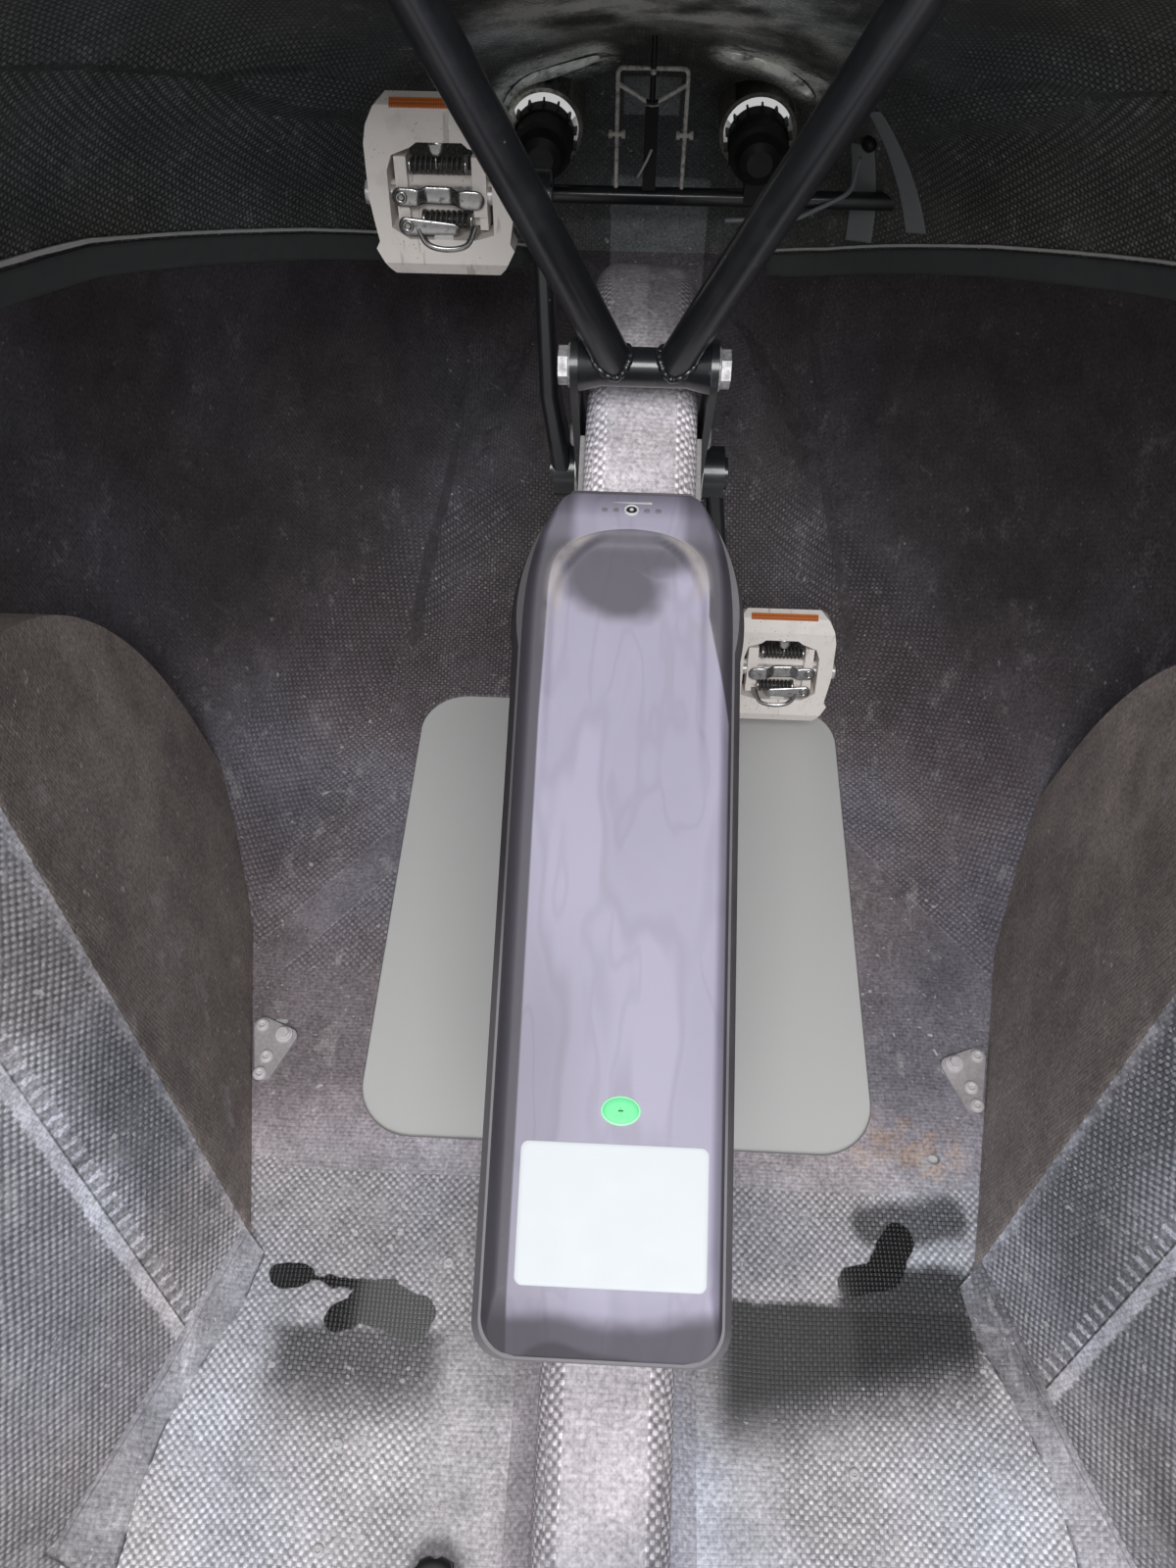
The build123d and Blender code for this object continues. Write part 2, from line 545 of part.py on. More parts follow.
# Plan of the case and the lid by level. Columns: height, half width, rear end, front end, front half
CASE_LEVELS = [
    (14.0, 40.0, -297.0, 49.0, 22.0),
    (40.0, 47.0, -302.0, 54.0, 25.0),
    (88.0, 50.0, -305.0, 55.0, 27.0),
    (99.0, 46.5, -302.0, 54.0, 26.0),
]
LID_LEVELS = [
    (99.0, 45.5, -301.0, 53.0, 25.5),
    (106.0, 43.0, -292.0, 46.0, 24.0),
    (110.0, 40.5, -277.0, 37.0, 20.0),
]
# Sunk panel of the lid, which is deepest at its arched front and runs out to the rear
PANEL_HALF, PANEL_REAR, PANEL_FRONT, PANEL_FRONT_HALF = 35.5, -268.0, 32.0, 13.0
PANEL_DEPTH, PANEL_RUN = 1.6, 170.0
SHOULDER_START = -20.0


def case_outline(half, rear, front, front_half, corner):
    """Plan of the pack: straight sides, arched shoulders and rounded rear corners."""
    middle = (half * 0.5 + front_half * 0.72, SHOULDER_START + (front - SHOULDER_START) * 0.66)
    edges = [
        Line((front_half, front), (-front_half, front)),
        ThreePointArc((-front_half, front), (-middle[0], middle[1]), (-half, SHOULDER_START)),
        Line((-half, SHOULDER_START), (-half, rear)),
        Line((-half, rear), (half, rear)),
        Line((half, rear), (half, SHOULDER_START)),
        ThreePointArc((half, SHOULDER_START), middle, (front_half, front)),
    ]
    face = make_face(edges)
    return fillet(face.vertices().sort_by(Axis.Y)[:2], corner)


def levels_loft(levels, corner):
    """Straight-sided loft through plan outlines at the given heights."""
    outlines = []
    for height, half, rear, front, front_half in levels:
        outlines.append(Pos(CASE_X, 0, height) * case_outline(half, rear, front, front_half, corner))
    return loft(outlines, ruled=True)


base_plan = Pos(CASE_X, -120.0) * RectangleRounded(58.0, 330.0, 10.0)
save("battery_base", incline * extrude(base_plan, CASE_LEVELS[0][0]))
save("battery_case", incline * levels_loft(CASE_LEVELS, 14.0))
lid = levels_loft(LID_LEVELS, 12.0)
panel_place = Pos(CASE_X, PANEL_FRONT, LID_LEVELS[-1][0] - PANEL_DEPTH)
panel_place = panel_place * Rot(-degrees(atan(PANEL_DEPTH / PANEL_RUN)), 0, 0) * Pos(0, -PANEL_FRONT, 0)
panel = case_outline(PANEL_HALF, PANEL_REAR, PANEL_FRONT, PANEL_FRONT_HALF, 9.0)
lid = lid - panel_place * extrude(panel, 6.0)
BUTTON_S, BUTTON_UP, BUTTON_LEAN = 44.6, 105.4, 24.0
BUTTON_RADIUS = 4.6
button_place = Pos(CASE_X, BUTTON_S, BUTTON_UP) * Rot(-BUTTON_LEAN, 0, 0)
lid = lid - button_place * Pos(0, 0, -1.0) * extrude(Circle(BUTTON_RADIUS), 9.0)
save("battery_lid", incline * lid)
button = extrude(Circle(BUTTON_RADIUS), 1.6) - Pos(0, 0, 0.9) * extrude(Circle(3.4) - Circle(1.7), 2.0)
save("battery_button", incline * button_place * Pos(0, 0, -1.0) * button)

# Lamps on their crossbar, behind the sleeves
BAR_Y, BAR_Z, BAR_RADIUS = 470.0, 290.0, 6.3
LAMP_RADIUS, LAMP_REAR, LAMP_DROP = 21.8, 440.0, 1.8
FIN_COUNT, FIN_DEPTH, FIN_THICK = 14, 2.6, 1.4
crossbar = disc(-200.0, 200.0, BAR_Y, BAR_Z, BAR_RADIUS) & inner
save("lamp_crossbar", crossbar)


def lamp_pieces(side):
    """Finned barrel with a domed rear on its saddle, and the lens in its front."""
    centre_z = LAMP_Z - LAMP_DROP
    axis = Plane(origin=(side * LAMP_X, LAMP_REAR, centre_z), z_dir=(0, 1, 0))
    half_section = Polyline(
        (0.0, 0.0), (9.0, 0.0), (14.0, 3.0), (17.5, 10.0), (20.5, 12.0), (20.5, 26.0), (LAMP_RADIUS, 28.0),
        (LAMP_RADIUS, 40.0), (19.5, 40.0), (19.5, 37.0), (0.0, 37.0), close=True)
    barrel = axis * revolve(Plane.XZ * make_face(half_section), Axis.Z)
    fin = Pos(LAMP_RADIUS + FIN_DEPTH / 2 - 0.3, 0, 34.0) * Box(FIN_DEPTH + 0.6, FIN_THICK, 12.0)
    for i in range(FIN_COUNT):
        angle = 360.0 / FIN_COUNT * i + 1.5
        barrel = barrel + axis * Rot(0, 0, angle) * fin
    saddle_top = centre_z - LAMP_RADIUS + 3.0
    saddle = Pos(side * LAMP_X, BAR_Y, (BAR_Z + saddle_top) / 2) * Box(14.0, 14.0, saddle_top - BAR_Z)
    barrel = barrel + saddle - crossbar
    lens = axis * (Pos(0, 0, 37.0) * extrude(Circle(19.5), 2.0))
    return barrel - lens, lens


for name, side in (("left", -1), ("right", 1)):
    barrel, lens = lamp_pieces(side)
    save(f"headlamp_{name}", barrel)
    save(f"lamp_lens_{name}", lens)

# Wire hanger that holds the crossbar up to the deck, with its nuts
WIRE_RADIUS = 1.5
HANGER_X, HANGER_TOP, HANGER_NUT_Z = 24.2, 378.0, 334.0


def wire(*points):
    """Round wire along straight runs joined by arcs."""
    path = FilletPolyline(*points, radius=4.0)
    return sweep(Plane(origin=path @ 0, z_dir=path % 0) * Circle(WIRE_RADIUS), path=path)


hanger = wire((-HANGER_X, BAR_Y, BAR_Z), (-HANGER_X, BAR_Y, HANGER_TOP),
              (HANGER_X, BAR_Y, HANGER_TOP), (HANGER_X, BAR_Y, BAR_Z))
hanger = hanger + wire((-HANGER_X, BAR_Y, HANGER_TOP - 10.0), (0.0, BAR_Y - 4.0, HANGER_TOP - 22.0),
                       (HANGER_X, BAR_Y, HANGER_TOP - 10.0))
hanger = hanger + rod((0.0, BAR_Y - 4.0, HANGER_TOP - 28.0), (0.0, BAR_Y - 4.0, 420.0), 2.0)
hanger = hanger + rod((0.0, BAR_Y - 4.0, HANGER_TOP - 27.0), (0.0, BAR_Y - 4.0, HANGER_TOP - 20.0), 4.5)
for x in (-HANGER_X, HANGER_X):
    hanger = hanger + disc(x - 6.0, x + 6.0, BAR_Y, HANGER_NUT_Z, 1.6)
    hanger = hanger + disc(x - 6.0, x - 3.4, BAR_Y, HANGER_NUT_Z, 2.8)
    hanger = hanger + disc(x + 3.4, x + 6.0, BAR_Y, HANGER_NUT_Z, 2.8)
save("lamp_hanger", (hanger & inner) - crossbar)

# Lamp cable, held by a clip on the right wall and tied to the crossbar
CABLE_RADIUS = 1.8
cable_path = FilletPolyline(
    (148.0, 452.0, 330.0), (148.0, 462.0, 300.0), (112.0, 462.0, 280.0), (58.0, 462.0, 277.0), radius=14.0)
cable = sweep(Plane(origin=cable_path @ 0, z_dir=cable_path % 0) * Circle(CABLE_RADIUS), path=cable_path)
save("lamp_cable", (cable & inner) - crossbar)

# Link plates on the floor by the arches, each with one large bolt
LINK_THICK = 2.5
LINK_CORNERS = [(238.0, -77.0), (220.0, -84.0), (231.0, -109.0)]
LINK_BOLT = (222.5, -83.0)


def link_plate():
    """Right triangular plate with rounded corners."""
    edges = []
    for x, y in LINK_CORNERS:
        edges += (Pos(x, y) * Circle(6.0)).edges()
    return Pos(0, 0, WALL) * extrude(make_hull(edges), LINK_THICK)


def link_bolt():
    """Washers and a nut stacked on the link plate."""
    foot = Pos(LINK_BOLT[0], LINK_BOLT[1], WALL + LINK_THICK)
    stack = foot * extrude(Circle(5.6), 1.4) + foot * extrude(Circle(4.4), 2.8)
    return stack + foot * extrude(RegularPolygon(3.6, 6), 5.4)


link = link_plate() - arch
save("link_plate_right", link)
save("link_plate_left", mirrored(link))
save("link_bolt_right", link_bolt())
save("link_bolt_left", mirrored(link_bolt()))

# Round knob on the floor beside the tunnel
KNOB_X, KNOB_Y, KNOB_RADIUS, KNOB_TALL = -84.0, -384.0, 15.0, 20.0
knob = extrude(Circle(KNOB_RADIUS), KNOB_TALL)
knob = fillet(knob.edges().sort_by(Axis.Z)[-1], 5.0)
grip = Pos(KNOB_RADIUS + 2.2, 0) * Circle(4.0)
knob = knob - [Rot(0, 0, 45.0 * i) * extrude(grip, KNOB_TALL) for i in range(8)]
save("floor_knob", Pos(KNOB_X, KNOB_Y, WALL) * knob)
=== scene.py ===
# %% [markdown]
# The looks of a velomobile's front body section, built around its imported CAD frame.
# Every length is in metres, +Y points to the nose and +Z up, as in the frame. The frame comes in
# first. Nothing added later may make the object bigger.

import math

import bmesh
import bpy
import numpy as np
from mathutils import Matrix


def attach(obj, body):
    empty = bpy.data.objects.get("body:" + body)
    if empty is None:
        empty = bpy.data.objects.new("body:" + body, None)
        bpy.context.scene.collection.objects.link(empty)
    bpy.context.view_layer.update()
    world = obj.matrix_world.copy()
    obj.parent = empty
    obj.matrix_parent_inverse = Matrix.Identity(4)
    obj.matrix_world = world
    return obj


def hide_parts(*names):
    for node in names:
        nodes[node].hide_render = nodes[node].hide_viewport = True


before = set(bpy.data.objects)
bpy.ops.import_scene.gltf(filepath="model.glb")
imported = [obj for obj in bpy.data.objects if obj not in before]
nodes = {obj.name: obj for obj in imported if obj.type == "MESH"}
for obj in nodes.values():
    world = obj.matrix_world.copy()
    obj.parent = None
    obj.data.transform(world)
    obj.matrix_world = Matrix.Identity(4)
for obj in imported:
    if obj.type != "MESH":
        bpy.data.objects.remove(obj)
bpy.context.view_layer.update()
print("nodes in the frame:", len(nodes))

# %% [markdown]
# Shader maths reads best as plain expressions. A small class wraps one socket of a node tree, so
# that an operator adds the Math node that does it. A second class adds every other node through
# one method, which takes the node's type, its settings and its sockets.

# %% Sockets as numbers
class Value:
    """One output socket of a material, used in Python expressions."""

    def __init__(self, graph, socket):
        self.graph = graph
        self.socket = socket

    def math(self, operation, *others):
        values = {0: self, **dict(enumerate(others, start=1))}
        return self.graph.add("ShaderNodeMath", {"operation": operation}, values)

    def __add__(self, other):
        return self.math("ADD", other)

    __radd__ = __add__

    def __sub__(self, other):
        return self.math("SUBTRACT", other)

    def __rsub__(self, other):
        return self.graph.add("ShaderNodeMath", {"operation": "SUBTRACT"}, {0: other, 1: self})

    def __mul__(self, other):
        return self.math("MULTIPLY", other)

    __rmul__ = __mul__

    def __truediv__(self, other):
        return self.math("DIVIDE", other)

    def __abs__(self):
        return self.math("ABSOLUTE")

    def sine(self):
        return self.math("SINE")

    def root(self):
        return self.math("SQRT")

    def least(self, other):
        return self.math("MINIMUM", other)

    def most(self, other):
        return self.math("MAXIMUM", other)

    def step(self, low, high):
        """Smooth rise from 0 at low to 1 at high, or a smooth fall where low is above high."""
        if low > high:
            return 1.0 - self.step(high, low)
        values = {"Value": self, "From Min": low, "From Max": high}
        return self.graph.add("ShaderNodeMapRange", {"interpolation_type": "SMOOTHSTEP"}, values)

    def band(self, low, high, soft):
        """1 between low and high and 0 outside, with soft edges."""
        return self.step(low - soft, low + soft) * self.step(high + soft, high - soft)


# %% Materials as graphs
class Graph:
    """The node tree of one material."""

    def __init__(self, name):
        self.material = bpy.data.materials.new(name)
        self.material.use_nodes = True
        self.tree = self.material.node_tree
        self.shader = self.tree.nodes["Principled BSDF"]
        place = self.tree.nodes.new("ShaderNodeTexCoord")
        self.position = Value(self, place.outputs["Object"])
        self.normal = Value(self, place.outputs["Normal"])

    def put(self, socket, value):
        """Links a value to a socket, or sets the socket to a plain number or colour."""
        if isinstance(value, Value):
            self.tree.links.new(value.socket, socket)
        else:
            socket.default_value = value

    def add(self, kind, settings=None, sockets=None, output=0):
        """Adds a node: its settings first, then the values or links of its sockets."""
        node = self.tree.nodes.new(kind)
        for key, value in (settings or {}).items():
            setattr(node, key, value)
        for key, value in (sockets or {}).items():
            self.put(node.inputs[key], value)
        return Value(self, node.outputs[output])

    def split(self, vector):
        """The X, Y and Z of a vector as three values."""
        first = self.add("ShaderNodeSeparateXYZ", {}, {0: vector})
        outputs = first.socket.node.outputs
        return [Value(self, outputs[i]) for i in range(3)]

    def mix(self, factor, first, second):
        """Colour between two colours, each a link or three numbers."""
        first, second = [c if isinstance(c, Value) else (*c, 1.0) for c in (first, second)]
        return self.add("ShaderNodeMix", {"data_type": "RGBA"}, {0: factor, 6: first, 7: second}, 2)

    def tint(self, amount, colour):
        """A colour scaled by a number."""
        scaled = {0: colour, 3: amount}
        return self.add("ShaderNodeVectorMath", {"operation": "SCALE"}, scaled)

    def stretched(self, x, y, z):
        """Object position scaled along each axis, which draws a pattern out."""
        return self.add("ShaderNodeVectorMath", {"operation": "MULTIPLY"}, {0: self.position, 1: (x, y, z)})

    def noise(self, scale, detail=2.0, vector=None, rough=0.5):
        sockets = {"Vector": vector or self.position, "Scale": scale, "Detail": detail, "Roughness": rough}
        return self.add("ShaderNodeTexNoise", {}, sockets)

    def cells(self, scale):
        """Distance to the nearest of points scattered through space."""
        sockets = {"Vector": self.position, "Scale": scale}
        return self.add("ShaderNodeTexVoronoi", {"feature": "F1"}, sockets)

    def bump(self, height, distance, strength=1.0):
        sockets = {"Height": height, "Distance": distance, "Strength": strength}
        return self.add("ShaderNodeBump", {}, sockets)

    def finish(self, colour, rough, normal=None, **constants):
        """Fills the shader's sockets. A keyword is a socket's name with _ for a blank."""
        self.put(self.shader.inputs["Base Color"], colour if isinstance(colour, Value) else (*colour, 1.0))
        self.put(self.shader.inputs["Roughness"], rough)
        if normal is not None:
            self.put(self.shader.inputs["Normal"], normal)
        for key, value in constants.items():
            self.put(self.shader.inputs[key.replace("_", " ")], value)
        return self.material


# %% [markdown]
# The body is a laminate of plain weave under clear resin. Its tows are 2.5 mm wide. The sine across
# each tow gives a rounded top, so the product of the two sines gives one knuckle at each crossing with
# gaps between, and its sign tells the tows that run over from those below. The colour paints a
# highlight of the resin on each knuckle, brighter on the tows that run over, and leaves the gaps dark.
# Image textures could do this, but a formula keeps the weave at its real scale from every side.

# %% Woven laminate
TOW = 0.0025
OUTSIDE_BLACK = (0.012, 0.012, 0.013)
HUE_CHANGE = (-0.19, -0.13)
COOL, WARM, DUST_GREY = (1.01, 0.965, 0.99), (1.12, 0.96, 0.84), (0.7, 0.69, 0.69)
COOLER = (0.945, 0.98, 1.09)


def weave(graph):
    """Knuckles of a plain weave: sqrt of |sin(pi u / w) sin(pi v / w)|, with u and v on the
    plane that the surface faces most, and the signed product, which is positive where the tow
    across runs over the other."""
    x, y, z = graph.split(graph.position)
    nx, ny, nz = [abs(part) for part in graph.split(graph.normal)]
    flat = (nz - nx.most(ny)).step(-0.02, 0.02)
    side = (nx - ny).step(-0.02, 0.02)
    drift = (graph.noise(7.0, 1.0) - 0.5) * 0.012
    u = flat * x + (1.0 - flat) * (side * y + (1.0 - side) * x) + drift
    v = flat * y + (1.0 - flat) * z - drift
    product = (u * (math.pi / TOW)).sine() * (v * (math.pi / TOW)).sine()
    return abs(product).root(), product


def to_line(x, y, start, end):
    """Distance from a line segment: the point is clamped along the segment, then measured."""
    (ax, ay), (bx, by) = start, end
    dx, dy = bx - ax, by - ay
    along = ((x - ax) * dx + (y - ay) * dy) / (dx * dx + dy * dy)
    along = along.most(0.0).least(1.0)
    gap_x = x - ax - along * dx
    gap_y = y - ay - along * dy
    return (gap_x * gap_x + gap_y * gap_y).root()


def to_lines(x, y, rows):
    """Distance from the nearest of several segments, less the radius round each."""
    nearest = None
    for x0, y0, x1, y1, radius in rows:
        gap = to_line(x, y, (x0, y0), (x1, y1)) - radius
        nearest = gap if nearest is None else nearest.least(gap)
    return nearest


def inside_of_body(graph):
    """1 on faces that look towards the body's middle, from the normal and the place."""
    x, y, z = graph.split(graph.position)
    nx, ny, nz = graph.split(graph.normal)
    return (nx * x + ny * y * 0.3 + nz * (z - 0.3)).step(0.004, -0.004)


def laminate(name, tone, hue=(1.0, 1.0, 1.0), front_hue=None, coated_outside=True):
    """Weave under dust and scratches. The tone function gives four values: the brightness of the
    knuckles, how smooth (filled) the weave is, how wet it is, and its warmth. The hue tints the
    whole piece, or only its rear where a front hue is given. Only the two shells have an outer
    side, which is black under clear coat."""
    graph = Graph(name)
    x, y, z = graph.split(graph.position)
    knuckle, product = weave(graph)
    # The tone's level is the brightness painted into the colour: dust, and also painted light and shade.
    level, smooth, wet, warm = tone(graph, x, y, z)
    cloud = graph.noise(11.0, 3.0, rough=0.66)
    patch = graph.noise(34.0, 3.0, rough=0.65)
    grain = graph.noise(420.0, 1.0, rough=0.6)
    # Painted highlight: bare weave is painted bright on each knuckle, brighter on the tows that run over;
    # dusted weave keeps a weaker pattern of the same.
    bare = 0.16 + 1.2 * knuckle.step(0.2, 0.75) * (0.55 + 0.9 * product.step(-0.3, 0.3))
    dulled = 1.22 * (1.0 - 0.8 * product.step(-0.1, -0.6)) * (0.8 + 0.2 * knuckle.step(0.1, 0.5))
    dusted = level.step(0.14, 0.3) * (0.35 + 0.5 * cloud)
    filled = patch.step(0.5, 0.7) * 0.45
    texture = (bare * (1.0 - dusted) + dulled * dusted) * (1.0 - filled) + filled * 0.92
    texture = texture * (1.0 - smooth) + smooth * (0.55 + 0.9 * patch)
    level = level * texture * (0.3 + 1.4 * cloud) * (0.3 + 1.4 * grain)
    cool = graph.mix(graph.noise(6.0, 1.0).step(0.42, 0.66), COOL, COOLER)
    colour = graph.tint(level, graph.mix(warm, cool, WARM))
    if front_hue:
        hue = graph.mix(y.step(*HUE_CHANGE), hue, front_hue)
    colour = graph.add("ShaderNodeVectorMath", {"operation": "MULTIPLY"}, {0: colour, 1: hue})
    dusty = graph.noise(60.0, 4.0, graph.stretched(1.0, 0.5, 0.5), 0.75).step(0.56, 0.72)
    speck = graph.noise(200.0, 0.0).step(0.78, 0.84) * graph.noise(19.0, 1.0).step(0.47, 0.55)
    fleck = graph.noise(450.0, 0.0).step(0.75, 0.83) * graph.noise(40.0, 1.0).step(0.42, 0.56)
    scuff = graph.noise(120.0, 3.0, graph.stretched(0.25, 1.0, 0.3), 0.7).step(0.63, 0.72)
    light = (speck * 0.9).most(fleck * 0.8).most(scuff * 0.3).most(dusty * 0.4) * level.step(0.02, 0.22)
    colour = graph.mix(light, colour, DUST_GREY)
    # Wet places go near black and keep a faint painted highlight on the knuckles.
    colour = graph.mix(wet, colour, graph.tint(knuckle.step(0.2, 0.75), (0.02, 0.02, 0.022)))
    inside = inside_of_body(graph) if coated_outside else x * 0.0 + 1.0
    colour = graph.mix(inside, OUTSIDE_BLACK, colour)
    rough = inside * (0.5 + 0.2 * patch) * (1.0 - 0.8 * wet) + (1.0 - inside) * 0.25
    normal = graph.bump(knuckle, 0.00035, 0.7)
    coat = (1.0 - inside).most(wet)
    return graph.finish(colour, rough, normal, Coat_Weight=coat, Coat_Roughness=0.08)


# %% [markdown]
# Where the dust lies, where water stands, where the weave is filled and where shade is painted
# differs from piece to piece. The lower shell is palest behind the foot opening and almost black up
# its sides and towards the nose, partly dust and partly painted shade under the deck, and has two
# wet marks, a wet band behind a low step, and a smooth strip along the opening's rear edge.

# %% Tone of the lower shell
POOLS = [
    # x0, y0, x1, y1, radius
    (-0.194, -0.233, -0.180, -0.233, 0.0065),
    (-0.180, -0.234, -0.128, -0.237, 0.0035),
    (-0.157, -0.256, -0.141, -0.249, 0.0065),
    (-0.138, -0.246, -0.112, -0.253, 0.0130),
    (0.143, -0.223, 0.160, -0.219, 0.0085),
    (0.163, -0.216, 0.173, -0.197, 0.0100),
]


def lower_tone(graph, x, y, z):
    """Pale at the rear of the floor, darker to the nose and up the sides."""
    side = abs(x)
    # Painted shade: the floor grows darker towards the nose and the walls darker as they climb, partly from
    # less dust and partly from the shade under the deck.
    climb = z.step(0.012, 0.15)
    floor = 0.115 + 0.135 * y.step(0.32, 0.1) + 0.27 * y.step(-0.09, -0.16)
    floor = floor + 0.14 * y.step(-0.27, -0.33)
    level = floor * (1.0 - climb) + (0.068 + 0.055 * y.step(0.25, 0.05)) * climb
    edge = (graph.noise(38.0, 3.0) - 0.5) * 0.016
    pools = (to_lines(x, y, POOLS) + edge).step(0.0007, -0.0007)
    line = y + edge * 0.5
    lower = line + (0.2 - x) * 0.25
    damp_right = line.step(-0.232, -0.238) * lower.step(-0.3, -0.252)
    damp_right = damp_right * x.step(0.055, 0.075) * x.step(0.224, 0.208)
    damp_left = line.step(-0.256, -0.264) * line.step(-0.32, -0.28)
    damp_left = damp_left * x.step(-0.085, -0.105) * x.step(-0.205, -0.18)
    near = (to_line(x, y, (0.162, -0.188), (0.203, -0.184)) + edge).step(0.018, 0.009)
    behind = (to_line(x, y, (0.15, -0.236), (0.198, -0.226)) + edge).step(0.022, 0.012)
    damp = damp_right.most(damp_left * 0.7).most(near * 0.7).most(behind * 0.95) * (1.0 - climb)
    shade = 0.25 * side.step(0.16, 0.1) * y.step(-0.15, -0.19) * y.step(-0.25, -0.21)
    level = level * (1.0 - 0.92 * damp) * (1.0 - shade)
    wet = pools.most(damp * 0.3) * (1.0 - climb)
    strip = y.band(-0.17, -0.1, 0.001) * side.step(0.22, 0.2) * (y + 0.147).step(0.004, 0.0)
    foot = side.step(0.115, 0.085) * y.step(-0.24, -0.27)
    past_tape = y - 0.041 + (side - 0.212) * 1.28
    filled = past_tape.step(0.0006, -0.0006) * y.step(-0.167, -0.163)
    printed = past_tape.step(-0.0455, -0.047) * x.step(0.0, -0.01) * y.step(-0.045, -0.02)
    smooth = (strip * 0.85).most(foot * 0.9).most(filled * (1.0 - 0.75 * printed) * 0.92)
    smooth = smooth.most(0.2 + y.step(-0.1, -0.04) * 0.15).most(z.step(0.045, 0.08) * 0.88)
    second_edge = past_tape.band(-0.0472, -0.0458, 0.0005) * x.step(0.0, -0.01)
    edges = past_tape.band(-0.0008, 0.0006, 0.0005).most(second_edge)
    level = level + edges * 0.12 * y.step(-0.15, -0.1) * (1.0 - climb)
    nose_strip = x.band(-0.03, 0.05, 0.001) * y.step(0.5, 0.51)
    level = level + nose_strip * 0.12
    stain = graph.noise(80.0, 2.0, rough=0.7).step(0.42, 0.6)
    warm = to_line(x, y, (0.17, -0.135), (0.2, -0.14)).step(0.03, 0.01) * stain
    return level, smooth.most(nose_strip), wet, warm


# %% Tones of the other laminates
RIDGE_Y, RIDGE_RUN = -0.213, 0.3033
STRIPE_LEFT, STRIPE_RIGHT = 0.053, 0.0625


def arch_tone(graph, x, y, z):
    """Rear face painted pale and ticked by a stripe of cut fibres, front face painted dark, ridge rubbed
    light.
    """
    # Painted light and shade: faces that look to the rear, towards the cockpit opening, are painted
    # lighter, and front faces darker and warmer, with lighter and darker patches by height and side.
    rear = graph.split(graph.normal)[1].step(0.0, -0.18)
    level = 0.26 + 0.04 * z.step(0.25, 0.05) + rear * (0.06 + 0.02 * z.step(0.3, 0.08))
    level = level * (1.0 - rear * 0.3 * x.step(0.0, 0.1) * z.step(0.16, 0.06))
    back = y - RIDGE_Y - z * RIDGE_RUN
    edge = (graph.noise(60.0, 3.0) - 0.5) * 0.003
    level = level * (1.0 - 0.38 * rear * back.step(-0.055, -0.03) * z.step(0.05, 0.12))
    level = level + 0.16 * (abs(x) - 0.2 * z).step(0.2, 0.27) * (1.0 - rear) * z.step(0.1, 0.2)
    level = level + 0.12 * x.step(0.27, 0.31) * (1.0 - rear)
    level = level + rear * 0.14 * x.step(0.2, 0.25) * z.step(0.07, 0.03)
    ridge = abs(back + (graph.noise(40.0, 3.0) - 0.5) * 0.008).step(0.008, 0.0005)
    behind = back + STRIPE_LEFT + x.step(-0.01, 0.01) * (STRIPE_RIGHT - STRIPE_LEFT)
    stripe = behind.band(-0.0045, 0.0045, 0.0006)
    tape = (behind + edge).band(-0.0125, -0.0045, 0.0012)
    ticks = ((z * 700.0 + back * 300.0).sine() * 0.5 + graph.noise(500.0, 1.0)).step(0.6, 0.9)
    line = (behind + 0.0045).band(-0.0006, 0.0006, 0.0003)
    rubbed = ridge * graph.noise(110.0, 3.0, rough=0.7).step(0.3, 0.7)
    dust = abs(back).step(0.045, 0.0) * z.step(0.13, 0.02)
    dust = dust * graph.noise(90.0, 3.0, rough=0.7).step(0.35, 0.65)
    level = level + rubbed * 0.3 + dust * 0.16 + stripe * (ticks * 0.4 - 0.05)
    level = level + tape * 0.7 * graph.noise(50.0, 3.0)
    level = level * (1.0 - 0.75 * line)
    # Painted light: the left arch's rear face is painted lighter higher up and in a halo round the stripe.
    halo = abs(behind).step(0.026, 0.004) * graph.noise(70.0, 3.0, rough=0.7).step(0.35, 0.65)
    level = level + rear * (0.16 * z.step(0.14, 0.22) + 0.22 * halo) * x.step(-0.22, -0.25)
    front = 1.0 - rear
    smooth = ridge.most(stripe * 0.7).most(tape).most(front * 1.05) * 0.88
    return level, smooth, x * 0.0, front * 0.85


def cove_tone(graph, x, y, z):
    """Tape and resin, smooth but for places where the weave prints through."""
    none = x * 0.0
    printed = graph.noise(16.0, 3.0).step(0.52, 0.6)
    streak = graph.noise(70.0, 4.0, graph.stretched(1.0, 0.3, 1.0), 0.7).step(0.5, 0.75)
    level = 0.38 - 0.2 * x.step(0.0, 0.1) * y.step(-0.31, -0.26)
    level = level + 0.14 * x.step(0.0, 0.1) * y.step(-0.28, -0.31) + 0.25 * streak
    return level, 0.95 - 0.4 * printed, none, none


LAMP_X, LAMP_Z, LAMP_HOLE = 0.077, 0.331, 0.0248
# Lines along the folds over the lamps where the deck's painted highlight lies.
FOLD_HIGHLIGHT_LINES = [
    # x0, z0, x1, z1, radius
    (-0.102, 0.345, -0.090, 0.361, 0.0),
    (-0.090, 0.361, -0.066, 0.368, 0.0),
    (-0.066, 0.368, -0.042, 0.377, 0.0),
    (0.055, 0.383, 0.083, 0.377, 0.0),
    (0.083, 0.377, 0.108, 0.365, 0.0),
]


